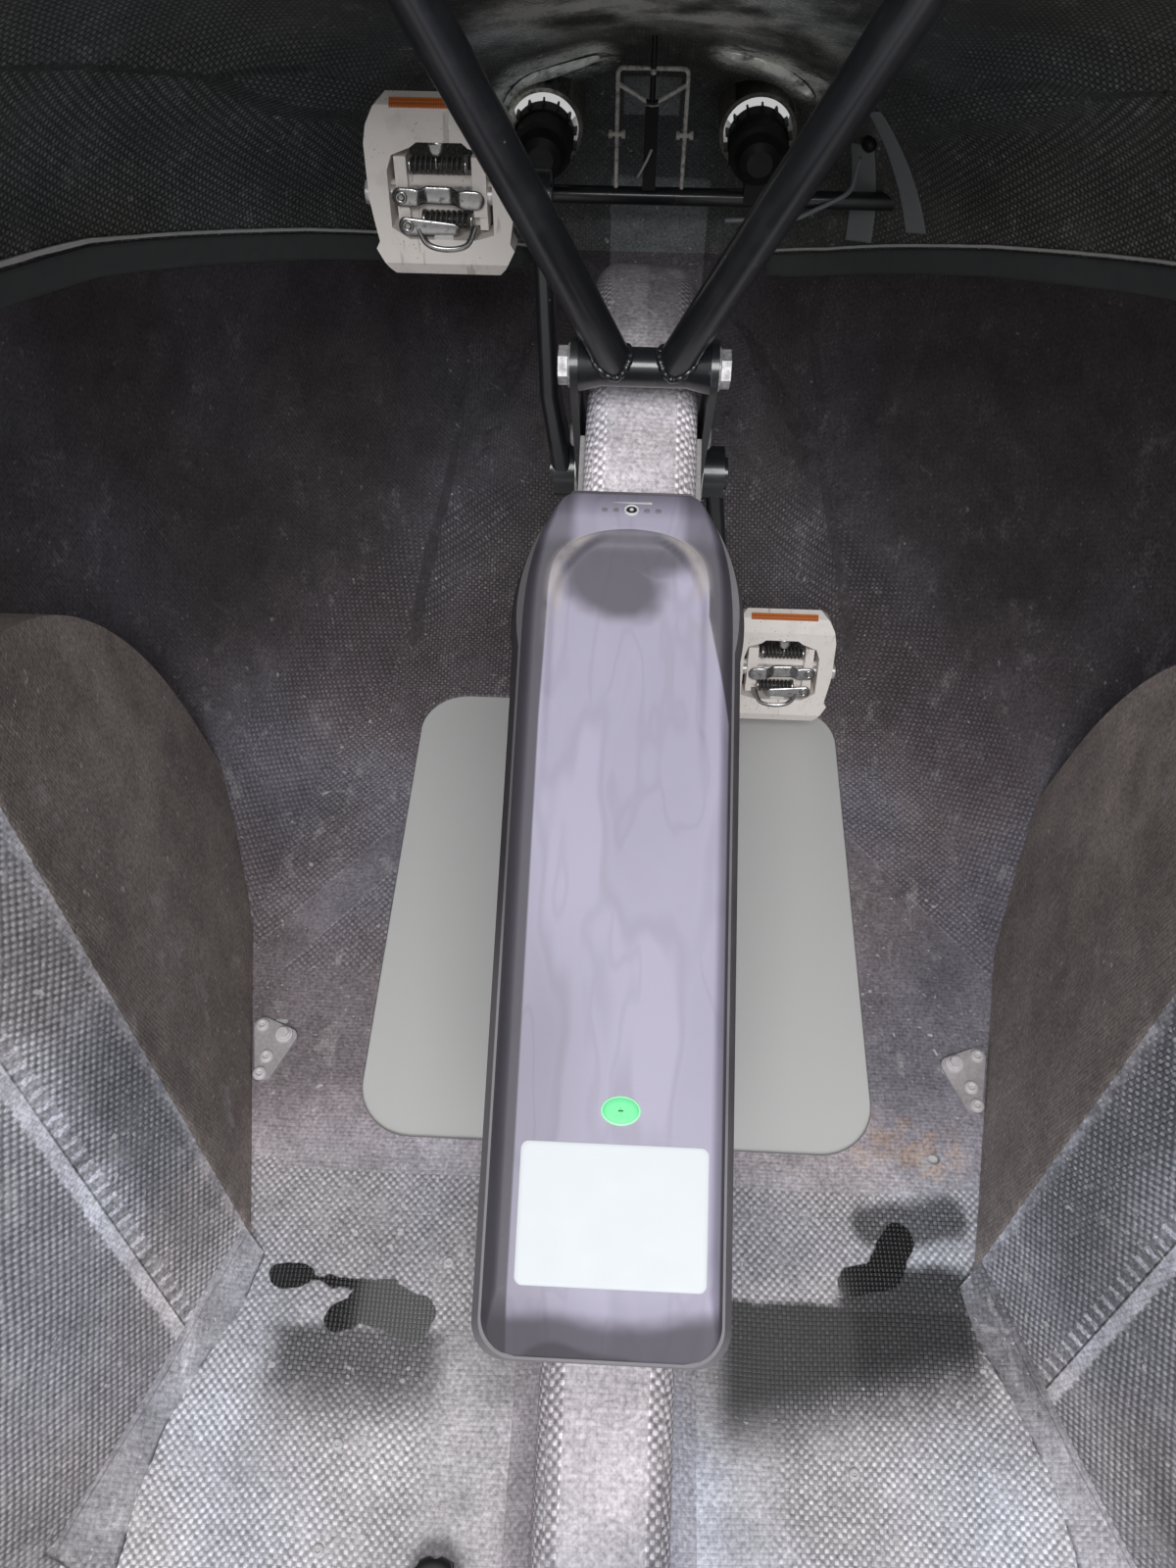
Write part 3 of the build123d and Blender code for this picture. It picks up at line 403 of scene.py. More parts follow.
def deck_tone(graph, x, y, z):
    """Black, with a painted sheen over the lamps, a painted highlight along each fold over them and a worn
    ring round each lamp opening.
    """
    none = x * 0.0
    # Painted sheen: the pale patch over the lamps stands for the sky reflected on the glossy deck.
    painted_lamp_sheen = to_line(abs(x), y, (0.02, 0.39), (0.075, 0.4)).step(0.08, 0.01)
    painted_lamp_sheen = painted_lamp_sheen * graph.noise(22.0, 4.0).step(0.3, 0.65)
    torn = graph.noise(90.0, 4.0, graph.stretched(0.35, 1.0, 1.0), 0.7)
    # Painted highlight along each fold over the lamps.
    painted_fold_highlight = to_lines(x, z, FOLD_HIGHLIGHT_LINES).step(0.022, 0.001) * torn.step(0.3, 0.6) * y.step(0.44, 0.47)
    gap_x, gap_z = abs(x) - LAMP_X, z - LAMP_Z
    ring = (gap_x * gap_x + gap_z * gap_z).root().band(LAMP_HOLE, LAMP_HOLE + 0.004, 0.0008)
    strip = x.band(-0.03, 0.05, 0.001) * y.step(0.5, 0.51) * z.step(0.262, 0.258)
    panel = abs(x).step(0.0215, 0.0205) * y.step(0.5, 0.51) * z.band(0.315, 0.352, 0.0006)
    level = 0.13 + 0.9 * painted_lamp_sheen + 0.1 * ring + (0.2 * strip) * (0.4 + torn) + 0.22 * panel + 1.9 * painted_fold_highlight
    glossy = (abs(x) + graph.noise(12.0, 1.0) * 0.08).step(0.25, 0.2) * 0.75
    return level, strip.most(panel).most(ring).most(painted_fold_highlight).most(glossy), none, ring * 0.6


TUNNEL_STRIP = 0.0195


def tunnel_tone(graph, x, y, z):
    """Filled grey strip along the top with a thin light edge, between two bands left as weave."""
    none = x * 0.0
    across = abs(x)
    strip = across.step(TUNNEL_STRIP, TUNNEL_STRIP - 0.001)
    edge = across.band(TUNNEL_STRIP - 0.0004, TUNNEL_STRIP + 0.0004, 0.0003)
    foot = z.step(0.05, 0.03)
    # Painted light and shade: the front part is painted lighter, standing for light that the deck would cut
    # off there, and the far front under the deck is painted darker again, its right half more so.
    front = y.step(-0.1, 0.05)
    level = 0.5 + 0.08 * strip + 0.2 * edge + front * (0.5 - 0.22 * strip)
    level = level * (1.0 - 0.55 * y.step(0.15, 0.2)) * (1.0 - 0.3 * x.step(0.0, 0.002) * y.step(0.17, 0.2))
    return level, strip.most(foot * 0.8), none, none


finishes = {
    "shell": laminate("laminate_lower", lower_tone, (0.99, 0.99, 1.01), (1.055, 0.955, 1.0)),
    "deck": laminate("laminate_deck", deck_tone, (0.97, 1.03, 0.94)),
    "arch": laminate("laminate_arch", arch_tone, (1.0, 0.985, 1.005), coated_outside=False),
    "cove": laminate("laminate_cove", cove_tone, (0.99, 0.985, 1.03), coated_outside=False),
    "tunnel": laminate("laminate_tunnel", tunnel_tone, (1.01, 0.98, 1.02), coated_outside=False),
}
print("laminates:", ", ".join(finishes))

# %% [markdown]
# The tubes and cranks carry a satin black paint. Paint on bicycle tube is hard and thin, so its wear
# shows as fine pale scratches along the tube and a few rubbed places, and not as chips.

# %% Painted tube and bright metal
def painted_tube():
    """Satin black with scratches drawn out along the tubes and dull rubbed patches."""
    graph = Graph("satin_black_paint")
    scratch = graph.noise(150.0, 4.0, graph.stretched(1.0, 0.3, 0.2), 0.7).step(0.66, 0.71)
    patch = graph.noise(18.0, 4.0, rough=0.7).step(0.5, 0.8)
    nick = graph.cells(75.0).step(0.05, 0.035) * graph.noise(30.0, 1.0).step(0.5, 0.55)
    colour = graph.mix(patch * 0.5, (0.016, 0.0175, 0.021), (0.05, 0.052, 0.056))
    colour = graph.mix((scratch * 0.3).most(nick * 0.6), colour, (0.28, 0.27, 0.26))
    normal = graph.bump(graph.noise(500.0, 2.0), 0.0001, 0.35)
    return graph.finish(colour, 0.3 + 0.22 * patch, normal, Coat_Weight=0.5, Coat_Roughness=0.12)


def bright_steel():
    """Machined steel, bright, and dull in spots."""
    graph = Graph("bright_steel")
    spots = graph.noise(210.0, 4.0, rough=0.65)
    colour = graph.mix(spots.step(0.35, 0.7), (0.42, 0.41, 0.42), (0.9, 0.89, 0.9))
    return graph.finish(colour, 0.25 + 0.25 * spots, graph.bump(spots, 0.0002, 0.3), Metallic=0.45)


def polished_steel():
    """Pressed steel, polished: clear reflections with light rubbing and dirt in patches."""
    graph = Graph("polished_steel")
    cloud = graph.noise(150.0, 4.0, rough=0.7)
    dirt = graph.noise(320.0, 3.0).step(0.55, 0.7)
    colour = graph.mix(cloud, (0.22, 0.215, 0.21), (0.62, 0.61, 0.61))
    colour = graph.mix(dirt * 0.45, colour, (0.16, 0.13, 0.11))
    rough = 0.14 + 0.2 * cloud + 0.2 * dirt
    return graph.finish(colour, rough, graph.bump(cloud, 0.0001, 0.3), Metallic=0.95)


def bright_wire():
    """Zinc-plated wire, dirty in places, on a stem that is painted black."""
    graph = Graph("bright_wire")
    x, _, z = graph.split(graph.position)
    stem = abs(x).step(0.0045, 0.004) * z.step(0.3565, 0.3585) * abs(z - 0.378).step(0.0016, 0.002)
    dirt = graph.noise(220.0, 3.0).step(0.4, 0.7)
    colour = graph.mix(dirt, (0.95, 0.93, 0.86), (0.5, 0.47, 0.4))
    colour = graph.mix(stem, colour, (0.02, 0.02, 0.02))
    return graph.finish(colour, 0.3 + 0.2 * dirt)


def brushed_aluminium():
    """Aluminium sheet brushed along its length, clouded, with white specks of corrosion."""
    graph = Graph("brushed_aluminium")
    lines = graph.noise(600.0, 3.0, graph.stretched(1.0, 0.05, 0.3))
    cloud = graph.noise(120.0, 4.0, rough=0.7)
    specks = graph.cells(330.0).step(0.2, 0.1)
    colour = graph.mix(cloud, (0.36, 0.35, 0.35), (0.74, 0.72, 0.72))
    colour = graph.mix(specks * 0.5, colour, (0.9, 0.89, 0.88))
    normal = graph.bump(lines + specks, 0.00012, 0.4)
    return graph.finish(colour, 0.36 + 0.2 * lines, normal, Metallic=0.3)


# %% Plastics, rubber and glass
def moulded_black():
    """Moulded black plastic with a fine grain and a little dust."""
    graph = Graph("moulded_black")
    grain = graph.noise(600.0, 2.0)
    dust = graph.noise(45.0, 4.0).step(0.5, 0.8)
    colour = graph.mix(dust * 0.3, (0.012, 0.012, 0.013), (0.1, 0.1, 0.1))
    return graph.finish(colour, 0.4 + 0.2 * grain, graph.bump(grain, 0.0001, 0.3))


def pedal_resin():
    """Off-white resin: brown grime, hair scratches, and pitted wear in scattered patches."""
    graph = Graph("pedal_resin")
    dirt = graph.noise(55.0, 5.0, rough=0.72).step(0.5, 0.72)
    pits = graph.cells(420.0).step(0.2, 0.1) * graph.noise(70.0, 2.0).step(0.54, 0.6)
    hair = graph.noise(170.0, 3.0, graph.stretched(1.0, 0.15, 0.15)).step(0.66, 0.7)
    colour = graph.mix(dirt * 0.3, (1.0, 0.94, 0.89), (0.66, 0.57, 0.49))
    colour = graph.mix((pits * 0.7).most(hair * 0.35), colour, (0.2, 0.14, 0.1))
    normal = graph.bump(graph.noise(260.0, 3.0) - pits * 0.6, 0.0002, 0.35)
    return graph.finish(colour, 0.45 + 0.15 * dirt, normal)


def orange_reflector():
    """Clear orange over a grid of small prisms."""
    graph = Graph("orange_reflector")
    x, _, z = graph.split(graph.position)
    ridges = abs((x * 2600.0).sine()) * abs((z * 2600.0).sine())
    colour = graph.mix(ridges, (0.5, 0.11, 0.02), (0.86, 0.28, 0.07))
    return graph.finish(colour, 0.2 + 0.1 * ridges, graph.bump(ridges, 0.0003, 0.5), Coat_Weight=0.6)


def lamp_glass():
    """Pale lens with moulded ribs."""
    graph = Graph("lamp_glass")
    x = graph.split(graph.position)[0]
    ribs = abs((x * 1500.0).sine())
    colour = graph.mix(ribs, (0.5, 0.53, 0.56), (0.85, 0.87, 0.9))
    return graph.finish(colour, 0.08 + 0.05 * ribs, graph.bump(ribs, 0.0004, 0.4), Coat_Weight=1.0)


def grained(name, colour, deep, rough, scale=300.0, bump=0.0001):
    """A plain finish that still varies: two near shades of one colour over a fine grain."""
    graph = Graph(name)
    grain = graph.noise(scale, 3.0, rough=0.6)
    wide = graph.noise(scale / 8.0, 3.0)
    shade = graph.mix(grain * 0.5 + wide * 0.5, deep, colour)
    return graph.finish(shade, rough - 0.1 + 0.2 * grain, graph.bump(grain, bump, 0.4))


finishes.update({
    "paint": painted_tube(),
    "steel": bright_steel(),
    "aluminium": brushed_aluminium(),
    "black": moulded_black(),
    "resin": pedal_resin(),
    "reflector": orange_reflector(),
    "glass": lamp_glass(),
    "flange": grained("seam_tape", (0.14, 0.15, 0.148), (0.065, 0.072, 0.072), 0.5, 120.0),
    # Painted highlight: the pale strip laid along the seam.
    "seam_highlight": grained("painted_seam_highlight", (1.0, 1.0, 0.98), (0.5, 0.5, 0.49), 0.6, 160.0),
    "patch": grained("patch_tape", (0.4, 0.43, 0.43), (0.3, 0.32, 0.32), 0.6, 200.0),
    "webbing": grained("black_webbing", (0.03, 0.03, 0.03), (0.01, 0.01, 0.01), 0.7, 700.0),
    "white": grained("white_plastic", (0.82, 0.82, 0.8), (0.66, 0.65, 0.62), 0.4),
    "button": grained("pale_button", (0.86, 0.86, 0.88), (0.68, 0.68, 0.7), 0.4),
    "lamp_off": grained("unlit_lamp", (0.3, 0.31, 0.33), (0.2, 0.2, 0.22), 0.4),
    "pale_cable": grained("pale_cable", (0.36, 0.38, 0.4), (0.2, 0.21, 0.22), 0.35),
    "wire": bright_wire(),
    "label": grained("blank_label", (0.78, 0.82, 0.86), (0.72, 0.765, 0.8), 0.45, 90.0, 0.00005),
    "sticker": grained("green_sticker", (0.2, 0.93, 0.42), (0.12, 0.82, 0.3), 0.4),
    "sticker_rim": grained("pale_green_rim", (0.5, 0.95, 0.65), (0.35, 0.9, 0.5), 0.4),
    "polished": polished_steel(),
    "spring": grained("dark_spring", (0.1, 0.095, 0.09), (0.03, 0.03, 0.03), 0.35),
    "link_plate": grained("worn_plate", (0.85, 0.8, 0.82), (0.24, 0.22, 0.23), 0.5, 420.0),
    "bright_rivet": grained("bright_rivet", (1.0, 0.97, 0.98), (0.6, 0.56, 0.58), 0.4, 500.0),
    "floor_rivet": grained("floor_rivet", (0.8, 0.79, 0.8), (0.4, 0.39, 0.4), 0.45),
})

# %% [markdown]
# The battery's case is matte black plastic. Its top carries a pale painted reflection of the sky,
# and the edges of each run of water show across it as thin wandering lines. A contour line of a noise
# that is drawn out along the pack wanders in the same way.

# %% Battery pack
PANEL_HALF, PANEL_BEND, PANEL_APEX = 0.0345, -0.008, 0.0303
SLOPE = math.atan(0.412)
PACK_X, PACK_Z = -0.0038, 0.2826
ALONG = np.array([0.0, math.cos(SLOPE), math.sin(SLOPE)])
ABOVE = np.array([0.0, -math.sin(SLOPE), math.cos(SLOPE)])


def pack_places(graph):
    """Across, along and above on the pack's incline, from the object position."""
    x, y, z = graph.split(graph.position)
    along = y * float(ALONG[1]) + (z - PACK_Z) * float(ALONG[2])
    above = y * float(ABOVE[1]) + (z - PACK_Z) * float(ABOVE[2])
    return x - PACK_X, along, above


def lid_plastic():
    """Pale painted reflection of the sky on black plastic, painted shade on the rear slope, with water
    marks, two darker damp places and dust.
    """
    graph = Graph("lid_plastic")
    across, along, _ = pack_places(graph)
    wander = graph.noise(1.0, 2.0, graph.stretched(34.0, 9.0, 9.0), 0.4)
    second = graph.noise(1.0, 2.0, graph.stretched(52.0, 14.0, 14.0), 0.4)
    marks = abs(wander - 0.47).step(0.05, 0.0) * 0.13
    marks = marks.most(abs(second - 0.55).step(0.035, 0.0) * 0.09)
    cloud = graph.noise(26.0, 3.0)
    edge = (cloud - 0.5) * 0.03
    damp = (to_line(across, along, (-0.014, 0.008), (-0.001, 0.003)) + edge).step(0.021, 0.009)
    bend = ((along - PANEL_BEND) * (1.0 / (PANEL_APEX - PANEL_BEND))).most(0.0).least(1.0)
    widen = ((PANEL_BEND - along) * 22.0).most(0.0).least(1.0)
    round_top = (1.0 - bend * bend * bend * bend).root() * PANEL_HALF
    rim = round_top + widen * (0.001 + 0.0085 * across.step(-0.001, 0.001)) - abs(across)
    panel = rim.step(-0.0004, 0.0008)
    face = (1.0 - panel) * along.step(0.012, 0.026) * abs(across + 0.001).step(0.027, 0.02)
    damp = damp.most((along + edge).step(0.003, 0.014) * panel)
    tail = (along - abs(across) * 0.1 + edge * 0.5).step(-0.283, -0.292)
    tail_damp = (to_line(across, along, (-0.018, -0.309), (0.02, -0.311)) + edge * 0.7).step(0.013, 0.009)
    lower_left = across.step(0.01, -0.03) * along.step(-0.12, -0.19)
    # Painted reflection: film is the sky's reflection painted pale. It is full on the sunk panel, weaker on
    # the face ahead of it, faint elsewhere and darker to the left rear. The rear slope (tail) is painted
    # darker as shade.
    film = 1.0 - 0.12 * wander.step(0.4, 0.56) * (0.4 + cloud)
    film = film * (1.0 - marks) * (1.0 - 0.8 * damp) * (1.0 - 0.25 * lower_left)
    reflection_share = (0.12 + 0.2 * along.step(0.02, 0.03) + 0.6 * face + panel).least(1.0)
    film = film * (1.0 - 0.8 * tail) * reflection_share * (1.0 - 0.7 * tail_damp)
    colour = graph.mix(film, (0.055, 0.05, 0.06), (0.47, 0.44, 0.57))
    dust = rim.band(0.0, 0.0055, 0.003) * along.step(-0.03, -0.005) * abs(across).step(0.01, 0.022)
    dust = dust * graph.noise(75.0, 4.0).step(0.3, 0.6)
    colour = graph.mix(dust * 0.6, colour, (0.5, 0.45, 0.41))
    fine = graph.noise(800.0, 2.0)
    return graph.finish(colour, 0.46 + 0.1 * fine, graph.bump(fine, 0.00008, 0.4))


def case_plastic():
    """Black plastic, greyed by dust towards its upper edge and its shoulders, and paler on its right side
    than on its left.
    """
    graph = Graph("case_plastic")
    across, along, above = pack_places(graph)
    fine = graph.noise(800.0, 2.0)
    cloud = graph.noise(30.0, 4.0, rough=0.6)
    tail = (along + across).step(-0.15, -0.24) * above.step(0.03, 0.08)
    # Dust greys the upper edge and the shoulders; the right side is also paler than the left.
    dust = (0.12 + 0.35 * above.step(0.07, 0.1)) * (0.5 + cloud) * (0.45 + across.step(-0.03, 0.03))
    dust = dust + 0.9 * tail
    colour = graph.mix(dust.least(1.0), (0.03, 0.026, 0.031), (0.21, 0.195, 0.215))
    return graph.finish(colour, 0.45 + 0.12 * fine, graph.bump(fine, 0.00008, 0.4))


finishes["lid"] = lid_plastic()
finishes["case"] = case_plastic()

# %% [markdown]
# Each node of the frame now gets its finish. A table of lists keeps that readable, and a helper
# names the two nodes of a pair.

# %% Finish of each node of the frame
SIDES = (("left", -1), ("right", 1))


def pairs(*names):
    """The left and right node of each name."""
    return [f"{name}_{side}" for name in names for side, _ in SIDES]


finish_of = {
    "shell": ["lower_shell"],
    "deck": ["upper_shell"],
    "arch": pairs("wheel_arch"),
    "tunnel": ["centre_tunnel"],
    "paint": pairs("bracket_plate", "crank") + ["v_frame", "lamp_crossbar", "spindle"],
    "wire": ["lamp_hanger"],
    "steel": ["chainring"] + pairs(
        "bearing", "bracket_bolts", "pedal_axle", "pedal_binding", "pedal_springs"),
    "aluminium": pairs("rail"),
    "link_plate": pairs("link_plate"),
    "bright_rivet": pairs("link_bolt"),
    "lid": ["battery_lid"],
    "case": ["battery_case"],
    "resin": pairs("pedal"),
    "reflector": pairs("pedal_reflector"),
    "black": ["battery_base", "floor_knob"] + pairs("headlamp"),
    "pale_cable": ["lamp_cable"],
    "glass": pairs("lamp_lens"),
    "button": ["battery_button"],
}
for finish, names in finish_of.items():
    for name in names:
        mesh = nodes[name].data
        mesh.materials.clear()
        mesh.materials.append(finishes[finish])
print("nodes given a finish:", sum(len(names) for names in finish_of.values()))

# %% [markdown]
# New pieces are surfaces worked out with numpy. A grid of points becomes quads, and points that fall
# together at poles and seams are merged, so that each piece is closed.

# %% Surfaces from grids
def grid_quads(rows, columns, wrap=False):
    """Quads of a grid of rows times columns; wrap joins the last column to the first."""
    across = columns if wrap else columns - 1
    i, j = np.meshgrid(np.arange(rows - 1), np.arange(across), indexing="ij")
    after = (j + 1) % columns
    corners = [i * columns + j, i * columns + after, (i + 1) * columns + after, (i + 1) * columns + j]
    return np.stack(corners, axis=-1).reshape(-1, 4)


def build(name, points, faces, finish, body="body", slot=None, stands_for=(), smooth=True):
    """Mesh object from point and face arrays, merged, with its finish and body; slot is not used."""
    mesh = bpy.data.meshes.new(name)
    mesh.from_pydata(np.asarray(points).tolist(), [], np.asarray(faces).tolist())
    work = bmesh.new()
    work.from_mesh(mesh)
    bmesh.ops.remove_doubles(work, verts=work.verts, dist=1e-6)
    bmesh.ops.dissolve_degenerate(work, dist=1e-7, edges=work.edges)
    bmesh.ops.recalc_face_normals(work, faces=work.faces)
    work.to_mesh(mesh)
    work.free()
    mesh.polygons.foreach_set("use_smooth", np.full(len(mesh.polygons), smooth))
    mesh.materials.append(finishes[finish])
    thing = bpy.data.objects.new(name, mesh)
    bpy.context.collection.objects.link(thing)
    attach(thing, body)
    if stands_for:
        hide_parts(*stands_for)
    return thing


def joined(parts):
    """Several (points, faces) pairs as one pair of arrays."""
    counts = np.cumsum([0] + [len(points) for points, _ in parts[:-1]])
    points = np.concatenate([points for points, _ in parts])
    faces = np.concatenate([faces + count for (_, faces), count in zip(parts, counts)])
    return points, faces


def tube(path, radii, reference, sides=12):
    """Circle carried along a path: ring = path + r (cos t n + sin t b), where n is the tangent
    crossed with a fixed reference and b the tangent crossed with n. The ends close to a point."""
    path = np.asarray(path, dtype=float)
    radii = np.broadcast_to(np.asarray(radii, dtype=float), (len(path),)).copy()
    path = np.concatenate([path[:1], path, path[-1:]])
    radii = np.concatenate([[0.0], radii, [0.0]])
    tangent = np.gradient(path, axis=0)
    tangent[0], tangent[-1] = tangent[2], tangent[-3]
    tangent /= np.linalg.norm(tangent, axis=1)[:, None]
    n = np.cross(tangent, reference)
    n /= np.linalg.norm(n, axis=1)[:, None]
    b = np.cross(tangent, n)
    turn = np.linspace(0.0, 2.0 * math.pi, sides, endpoint=False)
    ring = np.cos(turn)[None, :, None] * n[:, None, :] + np.sin(turn)[None, :, None] * b[:, None, :]
    points = path[:, None, :] + radii[:, None, None] * ring
    return points.reshape(-1, 3), grid_quads(len(path), sides, wrap=True)


def softened(points, rounds=4):
    """Corner cutting: each run is replaced by its quarter and three-quarter points."""
    points = np.asarray(points, dtype=float)
    for _ in range(rounds):
        near = points[:-1] * 0.75 + points[1:] * 0.25
        far = points[:-1] * 0.25 + points[1:] * 0.75
        middle = np.stack([near, far], axis=1).reshape(-1, 3)
        points = np.concatenate([points[:1], middle, points[-1:]])
    return points


def turned(profile, centre, axis, side, segments=32):
    """Profile of (radius, height) pairs turned about an axis through a centre."""
    profile = np.asarray(profile, dtype=float)
    axis = np.asarray(axis, dtype=float) / np.linalg.norm(axis)
    u = np.asarray(side, dtype=float) - np.dot(side, axis) * axis
    u /= np.linalg.norm(u)
    v = np.cross(axis, u)
    turn = np.linspace(0.0, 2.0 * math.pi, segments, endpoint=False)
    ring = np.cos(turn)[:, None] * u + np.sin(turn)[:, None] * v
    points = np.asarray(centre) + profile[:, 0, None, None] * ring + profile[:, 1, None, None] * axis
    return points.reshape(-1, 3), grid_quads(len(profile), segments, wrap=True)


def slab(outline, levels, place):
    """Plate with an eased edge. Each ring is the outline drawn towards its middle by an inset, at a
    height; the first and last rings shrink to the middle. place turns (x, y, z) into space."""
    outline = np.asarray(outline, dtype=float)
    middle = outline.mean(axis=0)
    reach = np.linalg.norm(outline - middle, axis=1)[:, None]
    rings = [np.tile(middle, (len(outline), 1))]
    heights = [levels[0][1]]
    for inset, height in levels:
        rings.append(middle + (outline - middle) * (1.0 - inset / reach))
        heights.append(height)
    rings.append(rings[0])
    heights.append(levels[-1][1])
    flat = np.stack(rings)
    tall = np.broadcast_to(np.asarray(heights)[:, None, None], flat.shape[:2] + (1,))
    points = np.concatenate([flat, tall], axis=2).reshape(-1, 3)
    return place(points), grid_quads(len(rings), len(outline), wrap=True)


# %% [markdown]
# The battery's lid is a moulded shell with soft edges and a sunk panel that is arched at its front
# and runs out towards the rear. It is a height over a grid, so the outline, the soft edge and the
# panel are three short formulas. It stands for the plainer lid of the frame.

# %% Battery lid
LID_ROWS, LID_COLUMNS = 190, 71
LID_HALF, LID_FRONT_HALF, SHOULDER = 0.0455, 0.0255, -0.02
LID_REAR, LID_FRONT = -0.301, 0.053
LID_LOW, LID_TOP = 0.099, 0.110
PANEL_DEPTH, PANEL_OUT = 0.0026, -0.11
SIDE_RUN, REAR_RUN, FRONT_RUN = 0.006, 0.026, 0.017


def on_pack(points):
    """Pack coordinates (across, along, above) to space."""
    points = np.asarray(points)
    across = np.array([1.0, 0.0, 0.0])
    origin = np.array([PACK_X, 0.0, PACK_Z])
    return origin + points[..., 0:1] * across + points[..., 1:2] * ALONG + points[..., 2:3] * ABOVE


def smooth_step(t):
    """3 t^2 - 2 t^3 on t held between 0 and 1."""
    t = np.clip(t, 0.0, 1.0)
    return t * t * (3.0 - 2.0 * t)


def lid_half(along):
    """Half width: straight, drawn in by the shoulder's curve in front and round rear corners."""
    t = np.clip((along - SHOULDER) / (LID_FRONT - SHOULDER), 0.0, 1.0)
    half = LID_FRONT_HALF + (LID_HALF - LID_FRONT_HALF) * (1.0 - t**3) ** 0.733
    corner = 0.014
    gap = np.clip((LID_REAR + corner - along) / corner, 0.0, 1.0)
    return half - corner * (1.0 - np.sqrt(1.0 - gap * gap))


def lid_height(along, across):
    """Soft edge of unequal runs at the sides, rear and front, less the sunk panel."""
    runs = [
        (lid_half(along) - np.abs(across)) / SIDE_RUN,
        (along - LID_REAR) / REAR_RUN,
        (LID_FRONT - along) / FRONT_RUN,
    ]
    edge = np.clip(np.minimum.reduce(runs), 0.0, 1.0)
    height = LID_LOW + (LID_TOP - LID_LOW) * (1.0 - (1.0 - edge) ** 1.7)
    bend = np.clip((along - PANEL_BEND) / (PANEL_APEX - PANEL_BEND), 0.0, 1.0)
    arch = PANEL_HALF * np.sqrt(np.clip(1.0 - bend**2, 0.0, 1.0))
    inside = smooth_step((arch - np.abs(across)) / 0.004) * smooth_step((PANEL_APEX - along) / 0.008)
    fade = smooth_step((along - PANEL_OUT) / 0.09)
    brow = 0.0012 * smooth_step(along / 0.03)
    return height + brow * (1.0 - inside) * edge - PANEL_DEPTH * inside * fade


def battery_lid():
    """Upper and lower sheets over one grid of across and along, joined round the rim."""
    t = np.linspace(0.0, 1.0, LID_ROWS)
    along = LID_REAR + (LID_FRONT - LID_REAR) * (0.75 * t + 0.25 * smooth_step(t))
    even = np.linspace(-1.0, 1.0, LID_COLUMNS)
    u = 0.5 * np.sin(even * math.pi / 2) + 0.5 * even
    along_grid, u_grid = np.meshgrid(along, u, indexing="ij")
    across = u_grid * lid_half(along_grid)
    upper = np.stack([across, along_grid, lid_height(along_grid, across)], axis=-1)
    lower = np.stack([across, along_grid, np.full_like(across, LID_LOW - 0.0008)], axis=-1)
    around = np.concatenate([upper, lower[:, ::-1]], axis=1)
    rows, columns = around.shape[:2]
    points = around.reshape(-1, 3)
    faces = grid_quads(rows, columns, wrap=True)
    half = columns // 2
    ends = []
    for start in (0, (rows - 1) * columns):
        j = np.arange(half - 1)
        corners = [start + j, start + j + 1, start + columns - 2 - j, start + columns - 1 - j]
        ends.append(np.stack(corners, axis=-1))
    faces = np.concatenate([faces] + ends)
    return build("battery_lid_shell", on_pack(points), faces, "lid", "battery", stands_for=["battery_lid"])


battery_lid()
print("lid made from", LID_ROWS, "by", LID_COLUMNS, "points on each sheet")

# %% [markdown]
# The label, the round sticker and the marks by the button are thin films on the lid. Each is a slab
# with an eased edge whose points are lifted to the lid's own height, so it follows the surface. All
# of them are blank.

# %% Films and button on the lid
def rounded_box(wide, tall, corner, count=8):
    """Rectangle with round corners as one ring of points."""
    turn = np.linspace(0.0, math.pi / 2, count)
    arc = np.stack([np.cos(turn), np.sin(turn)], axis=1) * corner
    reach = np.array([wide / 2 - corner, tall / 2 - corner])
    corners = [(1, 1, 0), (-1, 1, 1), (-1, -1, 2), (1, -1, 3)]
    rings = []
    for sx, sy, quarter in corners:
        swing = quarter * math.pi / 2
        cos, sin = math.cos(swing), math.sin(swing)
        rings.append(arc @ np.array([[cos, sin], [-sin, cos]]) + reach * (sx, sy))
    return np.concatenate(rings)


def oval(wide, tall, count=48):
    turn = np.linspace(0.0, 2.0 * math.pi, count, endpoint=False)
    return np.stack([np.cos(turn) * wide / 2, np.sin(turn) * tall / 2], axis=1)


FILM_INSETS = (0.0003, 0.002, 0.005, 0.009, 0.014, 0.02)


def film(name, outline, centre, finish, thick=0.0003, lift=0.0):
    """Slab laid on the lid: its height starts from the lid's height under each point."""
    def lay(points):
        across = points[:, 0] + centre[0]
        along = points[:, 1] + centre[1]
        height = lid_height(along, across) + points[:, 2] + lift
        return on_pack(np.stack([across, along, height], axis=1))

    deepest = np.ptp(outline) * 0.4
    levels = [(0.0, -0.0004), (0.0, thick * 0.6)]
    levels += [(inset, thick) for inset in FILM_INSETS if inset < deepest]
    points, faces = slab(outline, levels, lay)
    return build(name, points, faces, finish, "battery")


film("blank_label", rounded_box(0.0715, 0.0515, 0.003), (0.0028, -0.2485), "label")
film("oval_sticker", oval(0.0155, 0.0112), (0.0045, -0.2105), "sticker_rim")
film("oval_sticker_face", oval(0.0138, 0.0095), (0.0045, -0.2105), "sticker", lift=0.0002)
wedge = np.array([(-0.0082, 0.0), (0.0088, -0.0006), (0.0088, 0.0009)])
film("charge_wedge", wedge, (0.0, 0.0446), "white")
BUTTON_ALONG = 0.0393
for i, across in enumerate((-0.0116, -0.0067, 0.0066, 0.0115)):
    film(f"charge_lamp_{i}", oval(0.0026, 0.0026, 20), (across, BUTTON_ALONG), "lamp_off")

